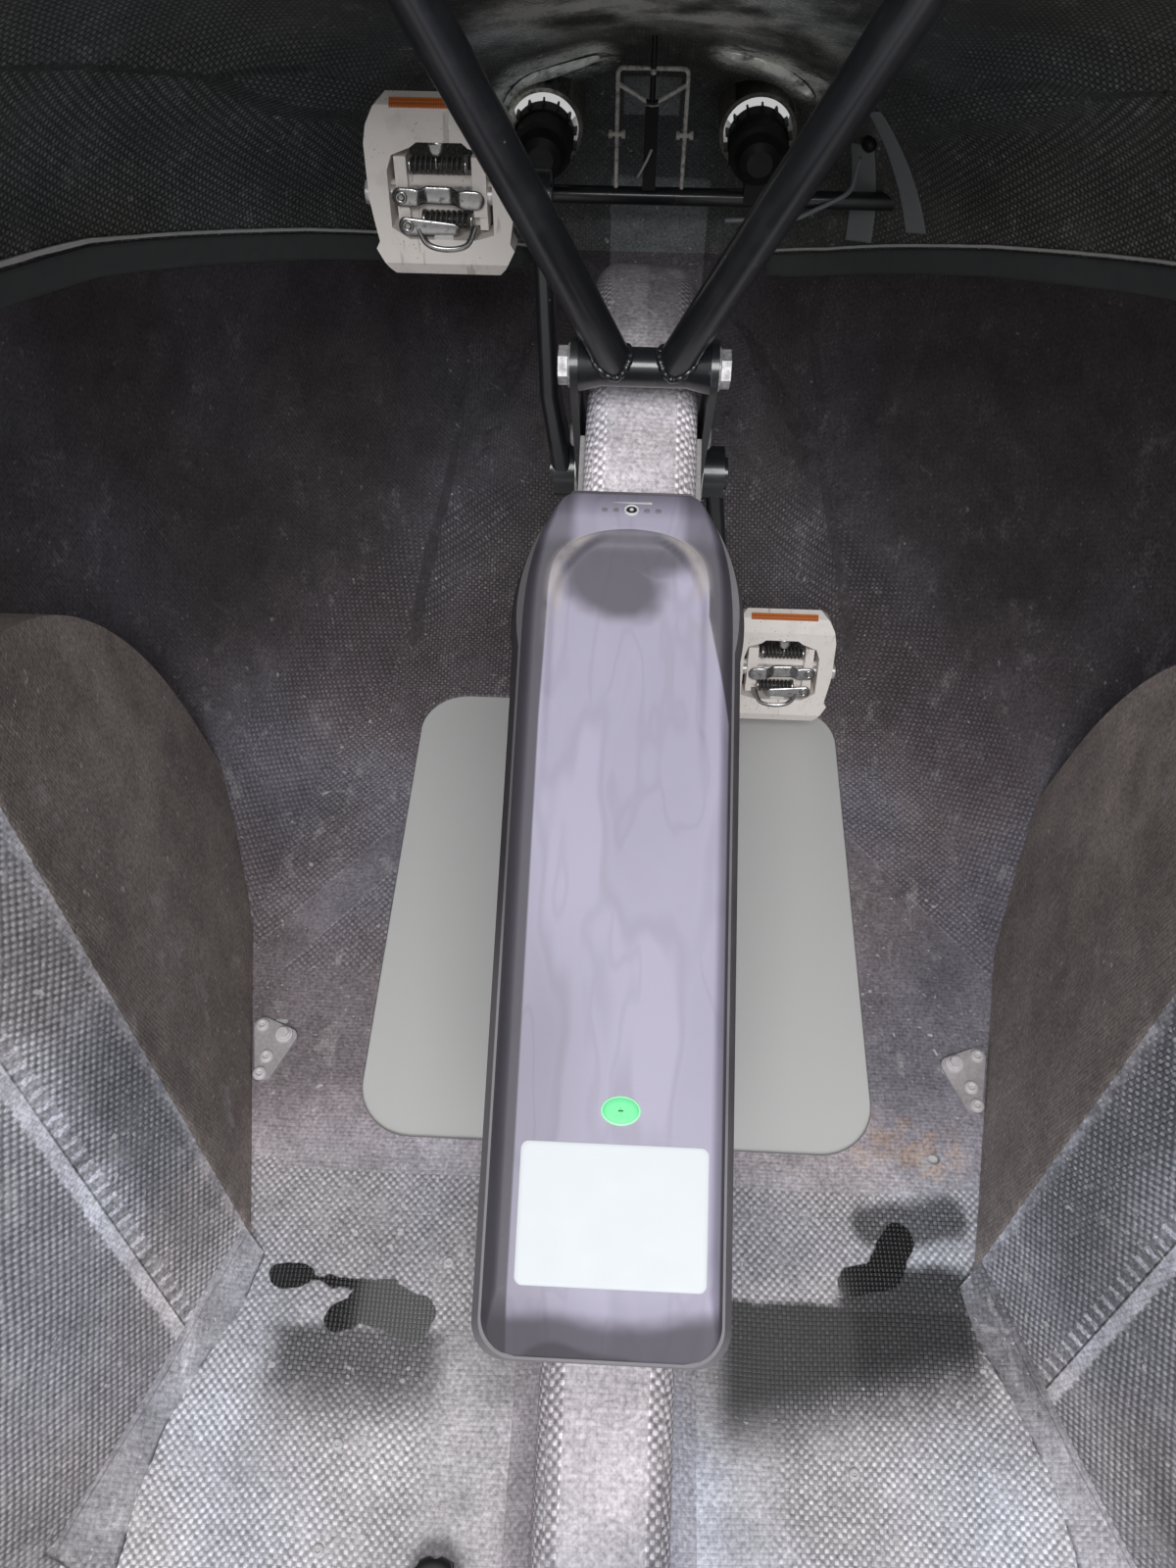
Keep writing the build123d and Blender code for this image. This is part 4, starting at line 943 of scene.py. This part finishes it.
button_height = lid_height(np.array(BUTTON_ALONG), np.array(0.0))
button_centre = on_pack([[0.0, BUTTON_ALONG, button_height]])[0]
BUTTON_AXIS = ABOVE + 0.45 * ALONG
ring_profile = [(0.0, -0.0006), (0.0033, -0.0006), (0.0033, 0.0006), (0.0031, 0.0009), (0.0026, 0.0009),
                (0.0023, 0.0004), (0.0, 0.0004)]
points, faces = turned(ring_profile, button_centre, BUTTON_AXIS, (1, 0, 0))
build("ring_button", points, faces, "button", "battery", stands_for=["battery_button"])
BUTTON_DISCS = [("button_well", 0.0023, 0.0006, "black"), ("button_dot", 0.0009, 0.0009, "button")]
for name, radius, rise, finish in BUTTON_DISCS:
    profile = [(0.0, 0.0002), (radius, 0.0002), (radius, rise)]
    profile += [(radius * 0.7, rise + 0.0001), (0.0, rise + 0.0001)]
    build(name, *turned(profile, button_centre, BUTTON_AXIS, (1, 0, 0), 24), finish, "battery")
print("lid films, wedge, lamps and button made")

# %% [markdown]
# Resin and tape fill the corner between each wheel arch and the floor. The fillet's section is a
# quadratic curve from the floor, past the corner, to the arch, and the section is carried along the
# corner. A strip that follows three lines gives this directly.

# %% Coves at the arches' feet
def cove(name, inner, corner, outer):
    """Strip of sections (1-t)^2 inner + 2 t (1-t) corner + t^2 outer over three lines of points,
    each resampled to the same count, closed by a second sheet under it."""
    count = 60
    lines = []
    for line in (inner, corner, outer):
        line = np.asarray(line, dtype=float)
        run = np.concatenate([[0.0], np.cumsum(np.linalg.norm(np.diff(line, axis=0), axis=1))])
        at = np.linspace(0.0, run[-1], count)
        lines.append(np.stack([np.interp(at, run, line[:, k]) for k in range(3)], axis=1))
    t = np.linspace(0.0, 1.0, 13)[None, :, None]
    first, middle, last = [line[:, None, :] for line in lines]
    top = (1 - t) ** 2 * first + 2 * t * (1 - t) * middle + t * t * last
    ripple = np.sin(np.linspace(0.0, 60.0, count)) * 0.0004 + np.sin(np.linspace(0.0, 23.0, count)) * 0.0005
    top[:, 0, :2] += ripple[:, None]
    under = (1 - t) * first + t * last + (middle - (first + last) / 2) * 1.6 * t * (1 - t) * 2
    under[:, 1:-1, 2] -= 0.001
    around = np.concatenate([top, under[:, ::-1]], axis=1)
    ends = [np.broadcast_to(ring.mean(axis=0), (1,) + ring.shape) for ring in (around[0], around[-1])]
    around = np.concatenate([ends[0], around, ends[1]])
    faces = grid_quads(count + 2, around.shape[1], wrap=True)
    return build(name, around.reshape(-1, 3), faces, "cove")


COVE_LINES = [
    # height, then x and then y of the points: inner line, corner, outer line
    (0.0035, [0.207, 0.214, 0.228, 0.243, 0.25, 0.252],
     [-0.222, -0.252, -0.279, -0.315, -0.35, -0.395]),
    (0.0039, [0.217, 0.228, 0.239, 0.251, 0.263, 0.28],
     [-0.213, -0.243, -0.272, -0.304, -0.336, -0.38]),
    (0.022, [0.2235, 0.2345, 0.247, 0.2605, 0.2725, 0.287],
     [-0.205, -0.2375, -0.269, -0.303, -0.335, -0.378]),
]
for side, sign in SIDES:
    lines = [np.column_stack([sign * np.array(x), y, np.full(len(x), z)]) for z, x, y in COVE_LINES]
    cove(f"arch_cove_{side}", *lines)
print("coves made at both arches")

# %% [markdown]
# Along the seam the upper shell's edge carries a pale line, a painted highlight, with a band of tape
# below it. The band starts as a plain strip beside the wall and a Shrinkwrap modifier lays it on, which
# follows the loft exactly without any formula for the loft.

# %% Seam band and patches
SEAM_Y = [-0.556, -0.32, -0.2, -0.08, 0.04, 0.14, 0.23, 0.31, 0.385, 0.45, 0.505, 0.54]
SEAM_Z = [0.440, 0.440, 0.440, 0.437, 0.427, 0.409, 0.379, 0.341, 0.303, 0.266, 0.231, 0.208]
SEAM_X = [0.385, 0.388, 0.388, 0.383, 0.369, 0.348, 0.320, 0.284, 0.238, 0.195, 0.147, 0.100]
SEAM_RUN = np.linspace(SEAM_Y[0], SEAM_Y[-1], 160)
SEAM_COLUMNS = 7


def laid_on(thing, node, lift, thick):
    """Shrinkwrap onto a node of the frame, then Solidify gives the film its thickness."""
    wrap = thing.modifiers.new("lay", "SHRINKWRAP")
    wrap.target = nodes[node]
    wrap.wrap_method = "NEAREST_SURFACEPOINT"
    wrap.wrap_mode = "ABOVE_SURFACE"
    wrap.offset = lift
    solid = thing.modifiers.new("thickness", "SOLIDIFY")
    solid.thickness = thick
    solid.offset = 0.0
    return thing


def seam_strip(name, sign, top, low, node, finish, lift, thick):
    """Strip between two heights above the seam, along the seam's side view and plan."""
    y = SEAM_RUN
    z = np.interp(y, SEAM_Y, SEAM_Z)
    x = np.interp(y, SEAM_Y, SEAM_X) - 0.004
    drop = np.linspace(0.0, 1.0, SEAM_COLUMNS)[None, :]
    top = np.broadcast_to(top, y.shape)[:, None]
    grid = np.stack([
        sign * np.repeat(x[:, None], SEAM_COLUMNS, axis=1),
        np.repeat(y[:, None], SEAM_COLUMNS, axis=1),
        z[:, None] + top + (low - top) * drop,
    ], axis=-1)
    thing = build(name, grid.reshape(-1, 3), grid_quads(len(y), SEAM_COLUMNS), finish)
    return laid_on(thing, node, lift, thick)


def patch(name, corners, node, finish, lift=0.0007, thick=0.0006):
    """Four-cornered patch: corners blended over a grid, then laid on a shell."""
    a, b, c, d = [np.asarray(corner) for corner in corners]
    rows, columns = 49, 25
    u = np.linspace(0.0, 1.0, columns)[None, :, None]
    v = np.linspace(0.0, 1.0, rows)[:, None, None]
    grid = (1 - v) * ((1 - u) * a + u * b) + v * ((1 - u) * d + u * c)
    thing = build(name, grid.reshape(-1, 3), grid_quads(rows, columns), finish)
    return laid_on(thing, node, lift, thick)


for side, sign in SIDES:
    seam_strip(f"seam_tape_{side}", sign, -0.0025, -0.022, "lower_shell", "flange", 0.0006, 0.0005)
    # The pale strip on the upper shell is a painted highlight along the seam.
    edge_top = 0.0022 + 0.0016 * smooth_step((0.27 - SEAM_RUN) / 0.08)
    seam_strip(f"seam_highlight_band_{side}", sign, edge_top, 0.0002, "upper_shell", "seam_highlight", 0.0011, 0.0014)

PATCHES = {
    "near": [(0.146, 0.484, 0.326), (0.16, 0.47, 0.33), (0.172, 0.477, 0.254), (0.155, 0.495, 0.246)],
    "far": [(0.149, 0.46, 0.357), (0.156, 0.452, 0.362), (0.202, 0.437, 0.284), (0.189, 0.451, 0.276)],
}
for which, corners in PATCHES.items():
    patch(f"wall_patch_{which}", corners, "upper_shell", "patch")
print("seam bands and patches laid on the shells")

# %% [markdown]
# Above each lamp the nose is pressed out round the lamp's barrel, and the deck's finish paints a
# highlight along the fold. It is a half-sunk tube along a short arc, thick in its middle, that runs
# over into the deck.

# %% Folds over the lamps
FOLDS = {
    "left": [(-0.11, 0.505, 0.335), (-0.094, 0.494, 0.36), (-0.067, 0.4955, 0.368), (-0.038, 0.49, 0.379)],
    "right": [(0.045, 0.483, 0.386), (0.08, 0.4805, 0.38), (0.1, 0.482, 0.37), (0.114, 0.484, 0.357)],
}
for side, path in FOLDS.items():
    path = softened(path) - (0.0, 0.0022, 0.0018)
    t = np.linspace(0.0, 1.0, len(path))
    points, faces = tube(path, 0.0005 + 0.0038 * np.sin(t * math.pi) ** 0.7, (0.0, 1.0, 0.0), 24)
    build(f"lamp_fold_{side}", points, faces, "deck", slot="laminate")
print("folds over the lamps made")

# %% [markdown]
# Blind rivets hold the link plates and the floor. A rivet is a low dome with a hollow where its pin
# broke off, which is a profile turned about an axis.

# %% Rivets
RIVET_DOME = [(0.86, 0.3), (0.6, 0.42), (0.42, 0.4), (0.36, 0.12), (0.2, 0.1), (0.16, 0.26), (0.0, 0.28)]


def rivet(name, centre, radius, finish):
    """Dome with a central hollow and the stub of its pin, upright on its centre."""
    profile = [(0.0, -0.0004), (radius, -0.0004), (radius, 0.0003)]
    profile += [(radius * across, radius * height) for across, height in RIVET_DOME]
    points, faces = turned(profile, centre, (0, 0, 1), (1.0, 0.3, 0.0), 28)
    return build(name, points, faces, finish)


LINK_TOP, FLOOR_TOP = 0.0055, 0.003
LINK_RADIUS, FLOOR_RADIUS = 0.0047, 0.0032
LINK_RIVETS = [(0.2385, -0.0765), (0.2315, -0.0985), (0.2335, -0.1105)]
for side, sign in SIDES:
    for i, (x, y) in enumerate(LINK_RIVETS):
        rivet(f"link_rivet_{side}_{i}", (sign * x, y, LINK_TOP), LINK_RADIUS, "bright_rivet")
for i, (x, y) in enumerate([(-0.096, -0.222), (-0.146, -0.32), (-0.148, -0.369), (0.137, -0.321)]):
    rivet(f"floor_rivet_{i}", (x, y, FLOOR_TOP), FLOOR_RADIUS, "floor_rivet")
print("rivets set")

# %% [markdown]
# A weld bead runs round the foot of each strut. The bead follows the line where the strut meets the
# cross tube, found by solving one quadratic for each direction round the strut, and its radius
# swells and shrinks as a stack of weld drops does.

# %% Weld beads and washers
CROSS_Y, CROSS_Z, CROSS_RADIUS, STRUT_RADIUS = 0.135, 0.374, 0.010, 0.0095
WASHER_X = 0.0379
WASHER = [(0.0, 0.0), (0.0105, 0.0), (0.0112, 0.0004), (0.0112, 0.0012), (0.0105, 0.0016), (0.0, 0.0016)]


def weld_bead(sign):
    """Path = low + t d + r (cos a u + sin a v), with t such that the point is on the cross tube."""
    low = np.array([sign * 0.014, CROSS_Y, CROSS_Z])
    high = np.array([sign * 0.099, 0.058, 0.597])
    d = (high - low) / np.linalg.norm(high - low)
    u = np.cross(d, (0.0, 1.0, 0.0))
    u /= np.linalg.norm(u)
    v = np.cross(d, u)
    turn = np.linspace(0.0, 2.0 * math.pi, 121)
    rim = low + STRUT_RADIUS * (np.cos(turn)[:, None] * u + np.sin(turn)[:, None] * v)
    off = rim[:, 1:] - (CROSS_Y, CROSS_Z)
    a = np.sum(d[1:] ** 2)
    b = 2.0 * off @ d[1:]
    c = np.sum(off**2, axis=1) - CROSS_RADIUS**2
    t = (-b + np.sqrt(np.maximum(b * b - 4 * a * c, 0.0))) / (2 * a)
    path = rim + t[:, None] * d
    radii = 0.0017 + 0.0004 * np.abs(np.sin(turn * 9.0))
    return tube(path, radii, d, 10)


for side, sign in SIDES:
    build(f"weld_bead_{side}", *weld_bead(sign), "paint")
    centre = (sign * WASHER_X, CROSS_Y, CROSS_Z)
    build(f"cross_washer_{side}", *turned(WASHER, centre, (sign, 0, 0), (0, 1, 0)), "steel")
print("weld beads and washers made")

# %% [markdown]
# Each pedal's binding is a set of pressed and polished steel clips on two coil springs. The frame
# holds it in plain form. Here the upper clip bar gets its rounded ends and dipped middle, the lower
# clip its hoop, and the springs become real helices. All are worked out on the pedal's own plane
# (across, up, out) and then moved to the pedal, mirrored for the left one.

# %% Pedal places
PEDAL_X = 0.1125
PEDALS = {
    "left": {"sign": -1.0, "y": 0.234034, "z": 0.410844, "tilt": math.radians(10.0)},
    "right": {"sign": 1.0, "y": 0.203966, "z": 0.067156, "tilt": math.radians(22.0)},
}


def on_pedal(name, points):
    """Pedal coordinates in millimetres (across, up, out) to space."""
    row = PEDALS[name]
    points = np.asarray(points, dtype=float) / 1000.0
    across = np.array([row["sign"], 0.0, 0.0])
    up = np.array([0.0, math.sin(row["tilt"]), math.cos(row["tilt"])])
    out = np.array([0.0, -math.cos(row["tilt"]), math.sin(row["tilt"])])
    origin = np.array([row["sign"] * PEDAL_X, row["y"], row["z"]])
    return origin + points[..., 0:1] * across + points[..., 1:2] * up + points[..., 2:3] * out


def bar(x, y, half, z, thick, sides=20):
    """Flat bar along X: at each x an ellipse-like section of given half width and half thickness,
    centred on (y, z). Its ends close where the half width is zero."""
    turn = np.linspace(0.0, 2.0 * math.pi, sides, endpoint=False)
    cos, sin = np.cos(turn), np.sin(turn)
    wide = np.sign(cos) * np.abs(cos) ** 0.7
    tall = np.sign(sin) * np.abs(sin) ** 0.7
    points = np.stack([
        np.repeat(x[:, None], sides, axis=1),
        y[:, None] + half[:, None] * wide,
        z[:, None] + thick[:, None] * tall,
    ], axis=-1)
    return points.reshape(-1, 3), grid_quads(len(x), sides, wrap=True)


def round_ends(x, first, last, radius):
    """Share of the full half width: a quarter circle over the radius at each end."""
    gap = np.clip(np.minimum(x - first, last - x) / radius, 0.0, 1.0)
    return np.sqrt(np.clip(1.0 - (1.0 - gap) ** 2, 0.0, 1.0))


def dense(first, last, count):
    """Stations that crowd towards both ends."""
    return first + (last - first) * (1.0 - np.cos(np.linspace(0.0, math.pi, count))) / 2.0


# %% Clip bars
def upper_bar():
    """Bar with round ends, waisted and dipped by 3 mm over its middle."""
    x = dense(-23.0, 27.5, 90)
    ends = round_ends(x, -23.0, 27.5, 5.0)
    middle = smooth_step((12.0 - np.abs(x - 2.2)) / 6.0)
    half = ends * (5.0 - 1.3 * smooth_step((15.0 - np.abs(x - 2.2)) / 7.0) + 0.9 * middle)
    y = -0.8 + (x + 23.0) / 50.5 * 1.3 + 0.8 * middle
    z = 7.9 - 3.0 * middle
    return bar(x, y, half, z, 0.25 + 1.0 * ends)


def lower_bar():
    """Shorter bar that narrows and drops towards the axle's inner end."""
    x = dense(-9.0, 24.5, 60)
    ends = round_ends(x, -9.0, 24.5, 4.0)
    along = (x + 9.0) / 33.5
    return bar(x, -15.5 + 2.0 * along, ends * (3.0 + 2.0 * along), 8.6 + 1.9 * along, 0.25 + 0.95 * ends)


def hoop():
    """Round wire bent into a flat-bottomed U below the lower bar."""
    path = softened([(14.0, -15.0, 9.6), (9.5, -26.0, 9.0), (-12.5, -26.0, 8.6), (-17.5, -14.0, 7.8)])
    return tube(path, CLIP_WIRE, (0.0, 0.0, 1.0), 12)


def tab():
    """Half-round tongue that hangs from the upper edge of the well."""
    turn = np.linspace(math.pi, 2.0 * math.pi, 24)
    half = np.stack([1.8 + 4.0 * np.cos(turn), 24.8 + 4.0 * np.sin(turn)], axis=1)
    outline = np.concatenate([half, [(5.8, 28.0), (-2.2, 28.0)]])
    levels = [(0.0, 5.5), (0.0, 8.3), (0.5, 8.9), (2.0, 9.0)]
    return slab(outline, levels, lambda points: points)


def coil(x0, x1, y, z, turns):
    """Helix (x, r cos a, r sin a) in round wire, with x along the axis."""
    t = np.linspace(0.0, 1.0, int(turns) * 18 + 1)
    angle = 2.0 * math.pi * turns * t
    cos, sin = COIL_RADIUS * np.cos(angle), COIL_RADIUS * np.sin(angle)
    path = np.stack([x0 + (x1 - x0) * t, y + cos, z + sin], axis=1)
    return tube(path, SPRING_WIRE, (1.0, 0.0, 0.0), 8)


SPRINGS = [(-12.5, 15.5, 15.8, 4.0, 10), (-14.0, 10.0, -11.8, 4.0, 8)]
SPRING_CORE, SPRING_WIRE, COIL_RADIUS, CLIP_WIRE = 2.3, 0.8, 3.9, 1.9
TAB_ROD = [(1.8, 21.5, 8.4), (1.8, 19.0, 8.9), (1.8, 16.5, 9.2), (1.8, 15.0, 9.0)]
BLOCK_LEVELS = [(0.0, 4.5), (0.0, 8.6), (0.5, 9.1), (1.5, 9.2)]
END_DISC = [(0.0, 0.0), (4.6, 0.0), (5.0, 0.4), (5.0, 1.6), (4.6, 2.0), (0.0, 2.0)]
SCREW = [(0.0, 0.0), (3.4, 0.0), (3.4, 0.7), (3.0, 1.1), (1.5, 1.1), (1.3, 0.3), (0.0, 0.3)]
for name in PEDALS:
    moving = f"pedal_{name}"
    steel = [upper_bar(), lower_bar(), hoop(), tab()]
    steel.append(turned(SCREW, (22.3, 0.4, 8.6), (0, 0, 1), (1, 0, 0), 28))
    steel.append(turned(SCREW, (19.5, -13.5, 11.0), (0, 0, 1), (1, 0, 0), 28))
    steel.append(tube(TAB_ROD, 0.8, (1, 0, 0), 10))
    springs = []
    for x0, x1, y, z, turns in SPRINGS:
        steel.append(turned(END_DISC, (x1, y, z), (1, 0, 0), (0, 1, 0), 28))
        steel.append(turned(END_DISC, (x0 - 2.0, y, z), (1, 0, 0), (0, 1, 0), 28))
        springs.append(coil(x0, x1, y, z, turns))
        core = [(0.0, 0.0), (SPRING_CORE, 0.0), (SPRING_CORE, x1 - x0), (0.0, x1 - x0)]
        springs.append(turned(core, (x0, y, z), (1, 0, 0), (0, 1, 0), 20))
    kinds = [("steel", "binding", "polished", steel), ("springs", "springs", "spring", springs)]
    for kind, node, finish, parts in kinds:
        points, faces = joined(parts)
        points = on_pedal(name, points)
        build(f"clip_{kind}_{name}", points, faces, finish, moving, stands_for=[f"pedal_{node}_{name}"])
    points, faces = slab(rounded_box(11.0, 4.6, 0.8), BLOCK_LEVELS, lambda points: points)
    build(f"clip_block_{name}", on_pedal(name, points + (0.5, -20.6, 0.0)), faces, "white", moving)
print("pedal clips and springs made")

# %% [markdown]
# A black strap hangs from the middle nut of the lamp hanger, with the cut tail of a white tie on it.
# A small cap holds the lamp cable to the wall.

# %% Strap, tie and cable cap
def ribbon(path, wide, thick, across=(1.0, 0.0, 0.0)):
    """Rectangle carried along a path, wide along one fixed direction."""
    path = np.asarray(path, dtype=float)
    across = np.asarray(across)
    tangent = np.gradient(path, axis=0)
    deep = np.cross(tangent, across)
    deep /= np.linalg.norm(deep, axis=1)[:, None]
    corners = np.array([(-0.5, -0.5), (0.5, -0.5), (0.5, 0.5), (-0.5, 0.5)])
    sideways = corners[None, :, 0:1] * wide * across
    rings = path[:, None, :] + sideways + corners[None, :, 1:2] * thick * deep[:, None, :]
    first, last = [np.repeat(end[None, None], 4, axis=1) for end in (path[0], path[-1])]
    rings = np.concatenate([first, rings, last])
    return rings.reshape(-1, 3), grid_quads(len(rings), 4, wrap=True)


t = np.linspace(0.0, 1.0, 30)
strap_path = np.stack([0.0 * t, 0.4615 + 0.002 * np.sin(t * math.pi), 0.3565 - 0.058 * t], axis=1)
build("hanger_strap", *ribbon(strap_path, 0.0095, 0.0014), "webbing", smooth=False)
tie_path = [(0.001, 0.459, 0.329), (-0.002, 0.458, 0.322), (-0.006, 0.458, 0.314), (-0.0085, 0.459, 0.309)]
build("hanger_tie", *tube(tie_path, 0.0009, (0.0, 1.0, 0.0), 8), "white")
cap = [(0.0, -0.002), (0.0055, -0.002), (0.0055, 0.002), (0.0045, 0.0045), (0.002, 0.0055), (0.0, 0.0056)]
build("cable_cap", *turned(cap, (0.1565, 0.4705, 0.3315), (-0.6, -0.7, -0.4), (1, 0, 0)), "black")
print("strap, tie and cap made")

# %% [markdown]
# The photograph's camera stands over the seat and looks down and forward into the nose.

# %% Camera
LENS, SENSOR = 27.0, 36.0
CAMERA_PLACE = (-0.0042, -0.4, 0.741)
CAMERA_TILT, CAMERA_TURN = math.radians(36.0), math.radians(2.68)
camera_data = bpy.data.cameras.new("camera")
camera_data.lens = LENS
camera_data.sensor_width = SENSOR
camera_data.clip_start = 0.02
camera = bpy.data.objects.new("camera", camera_data)
camera.location = CAMERA_PLACE
camera.rotation_euler = (CAMERA_TILT, 0.0, CAMERA_TURN)
bpy.context.collection.objects.link(camera)
scene = bpy.context.scene
scene.camera = camera
scene.view_settings.view_transform = "Standard"
print("camera of", LENS, "mm at", CAMERA_PLACE)

# %% [markdown]
# The light is that of an overcast sky: a wide lamp over the cockpit, a second one behind and above the
# seat that reaches into the nose, and an even pale world. The floor is plain and pale, and stands just
# under the part.

# %% Light and floor
SKY_COLOUR, SKY_STRENGTH = (0.94, 0.95, 0.96, 1.0), 0.45


def soft_lamp(name, size, watts, place, lean):
    """Square lamp that looks down, leaned forward by an angle in degrees."""
    data = bpy.data.lights.new(name, "AREA")
    data.size = size
    data.energy = watts
    lamp = bpy.data.objects.new(name, data)
    lamp.location = place
    lamp.rotation_euler = (math.radians(lean), 0.0, 0.0)
    bpy.context.collection.objects.link(lamp)


soft_lamp("sky", 1.4, 9.0, (0.0, 0.0, 2.5), 0.0)
soft_lamp("seat_side", 1.2, 49.0, (0.05, -1.95, 2.48), 40.0)

world = bpy.data.worlds.new("studio")
scene.world = world
world.use_nodes = True
background = world.node_tree.nodes["Background"]
background.inputs["Color"].default_value = SKY_COLOUR
background.inputs["Strength"].default_value = SKY_STRENGTH


def pale_floor():
    """Wide flat square just under the part."""
    half, level = 12.0, -0.0005
    corners = [(-half, -half, level), (half, -half, level), (half, half, level), (-half, half, level)]
    mesh = bpy.data.meshes.new("floor")
    mesh.from_pydata(corners, [], [(0, 1, 2, 3)])
    floor = bpy.data.objects.new("floor", mesh)
    bpy.context.collection.objects.link(floor)
    mesh.materials.append(Graph("pale_floor").finish((0.74, 0.74, 0.73), 0.7))


pale_floor()
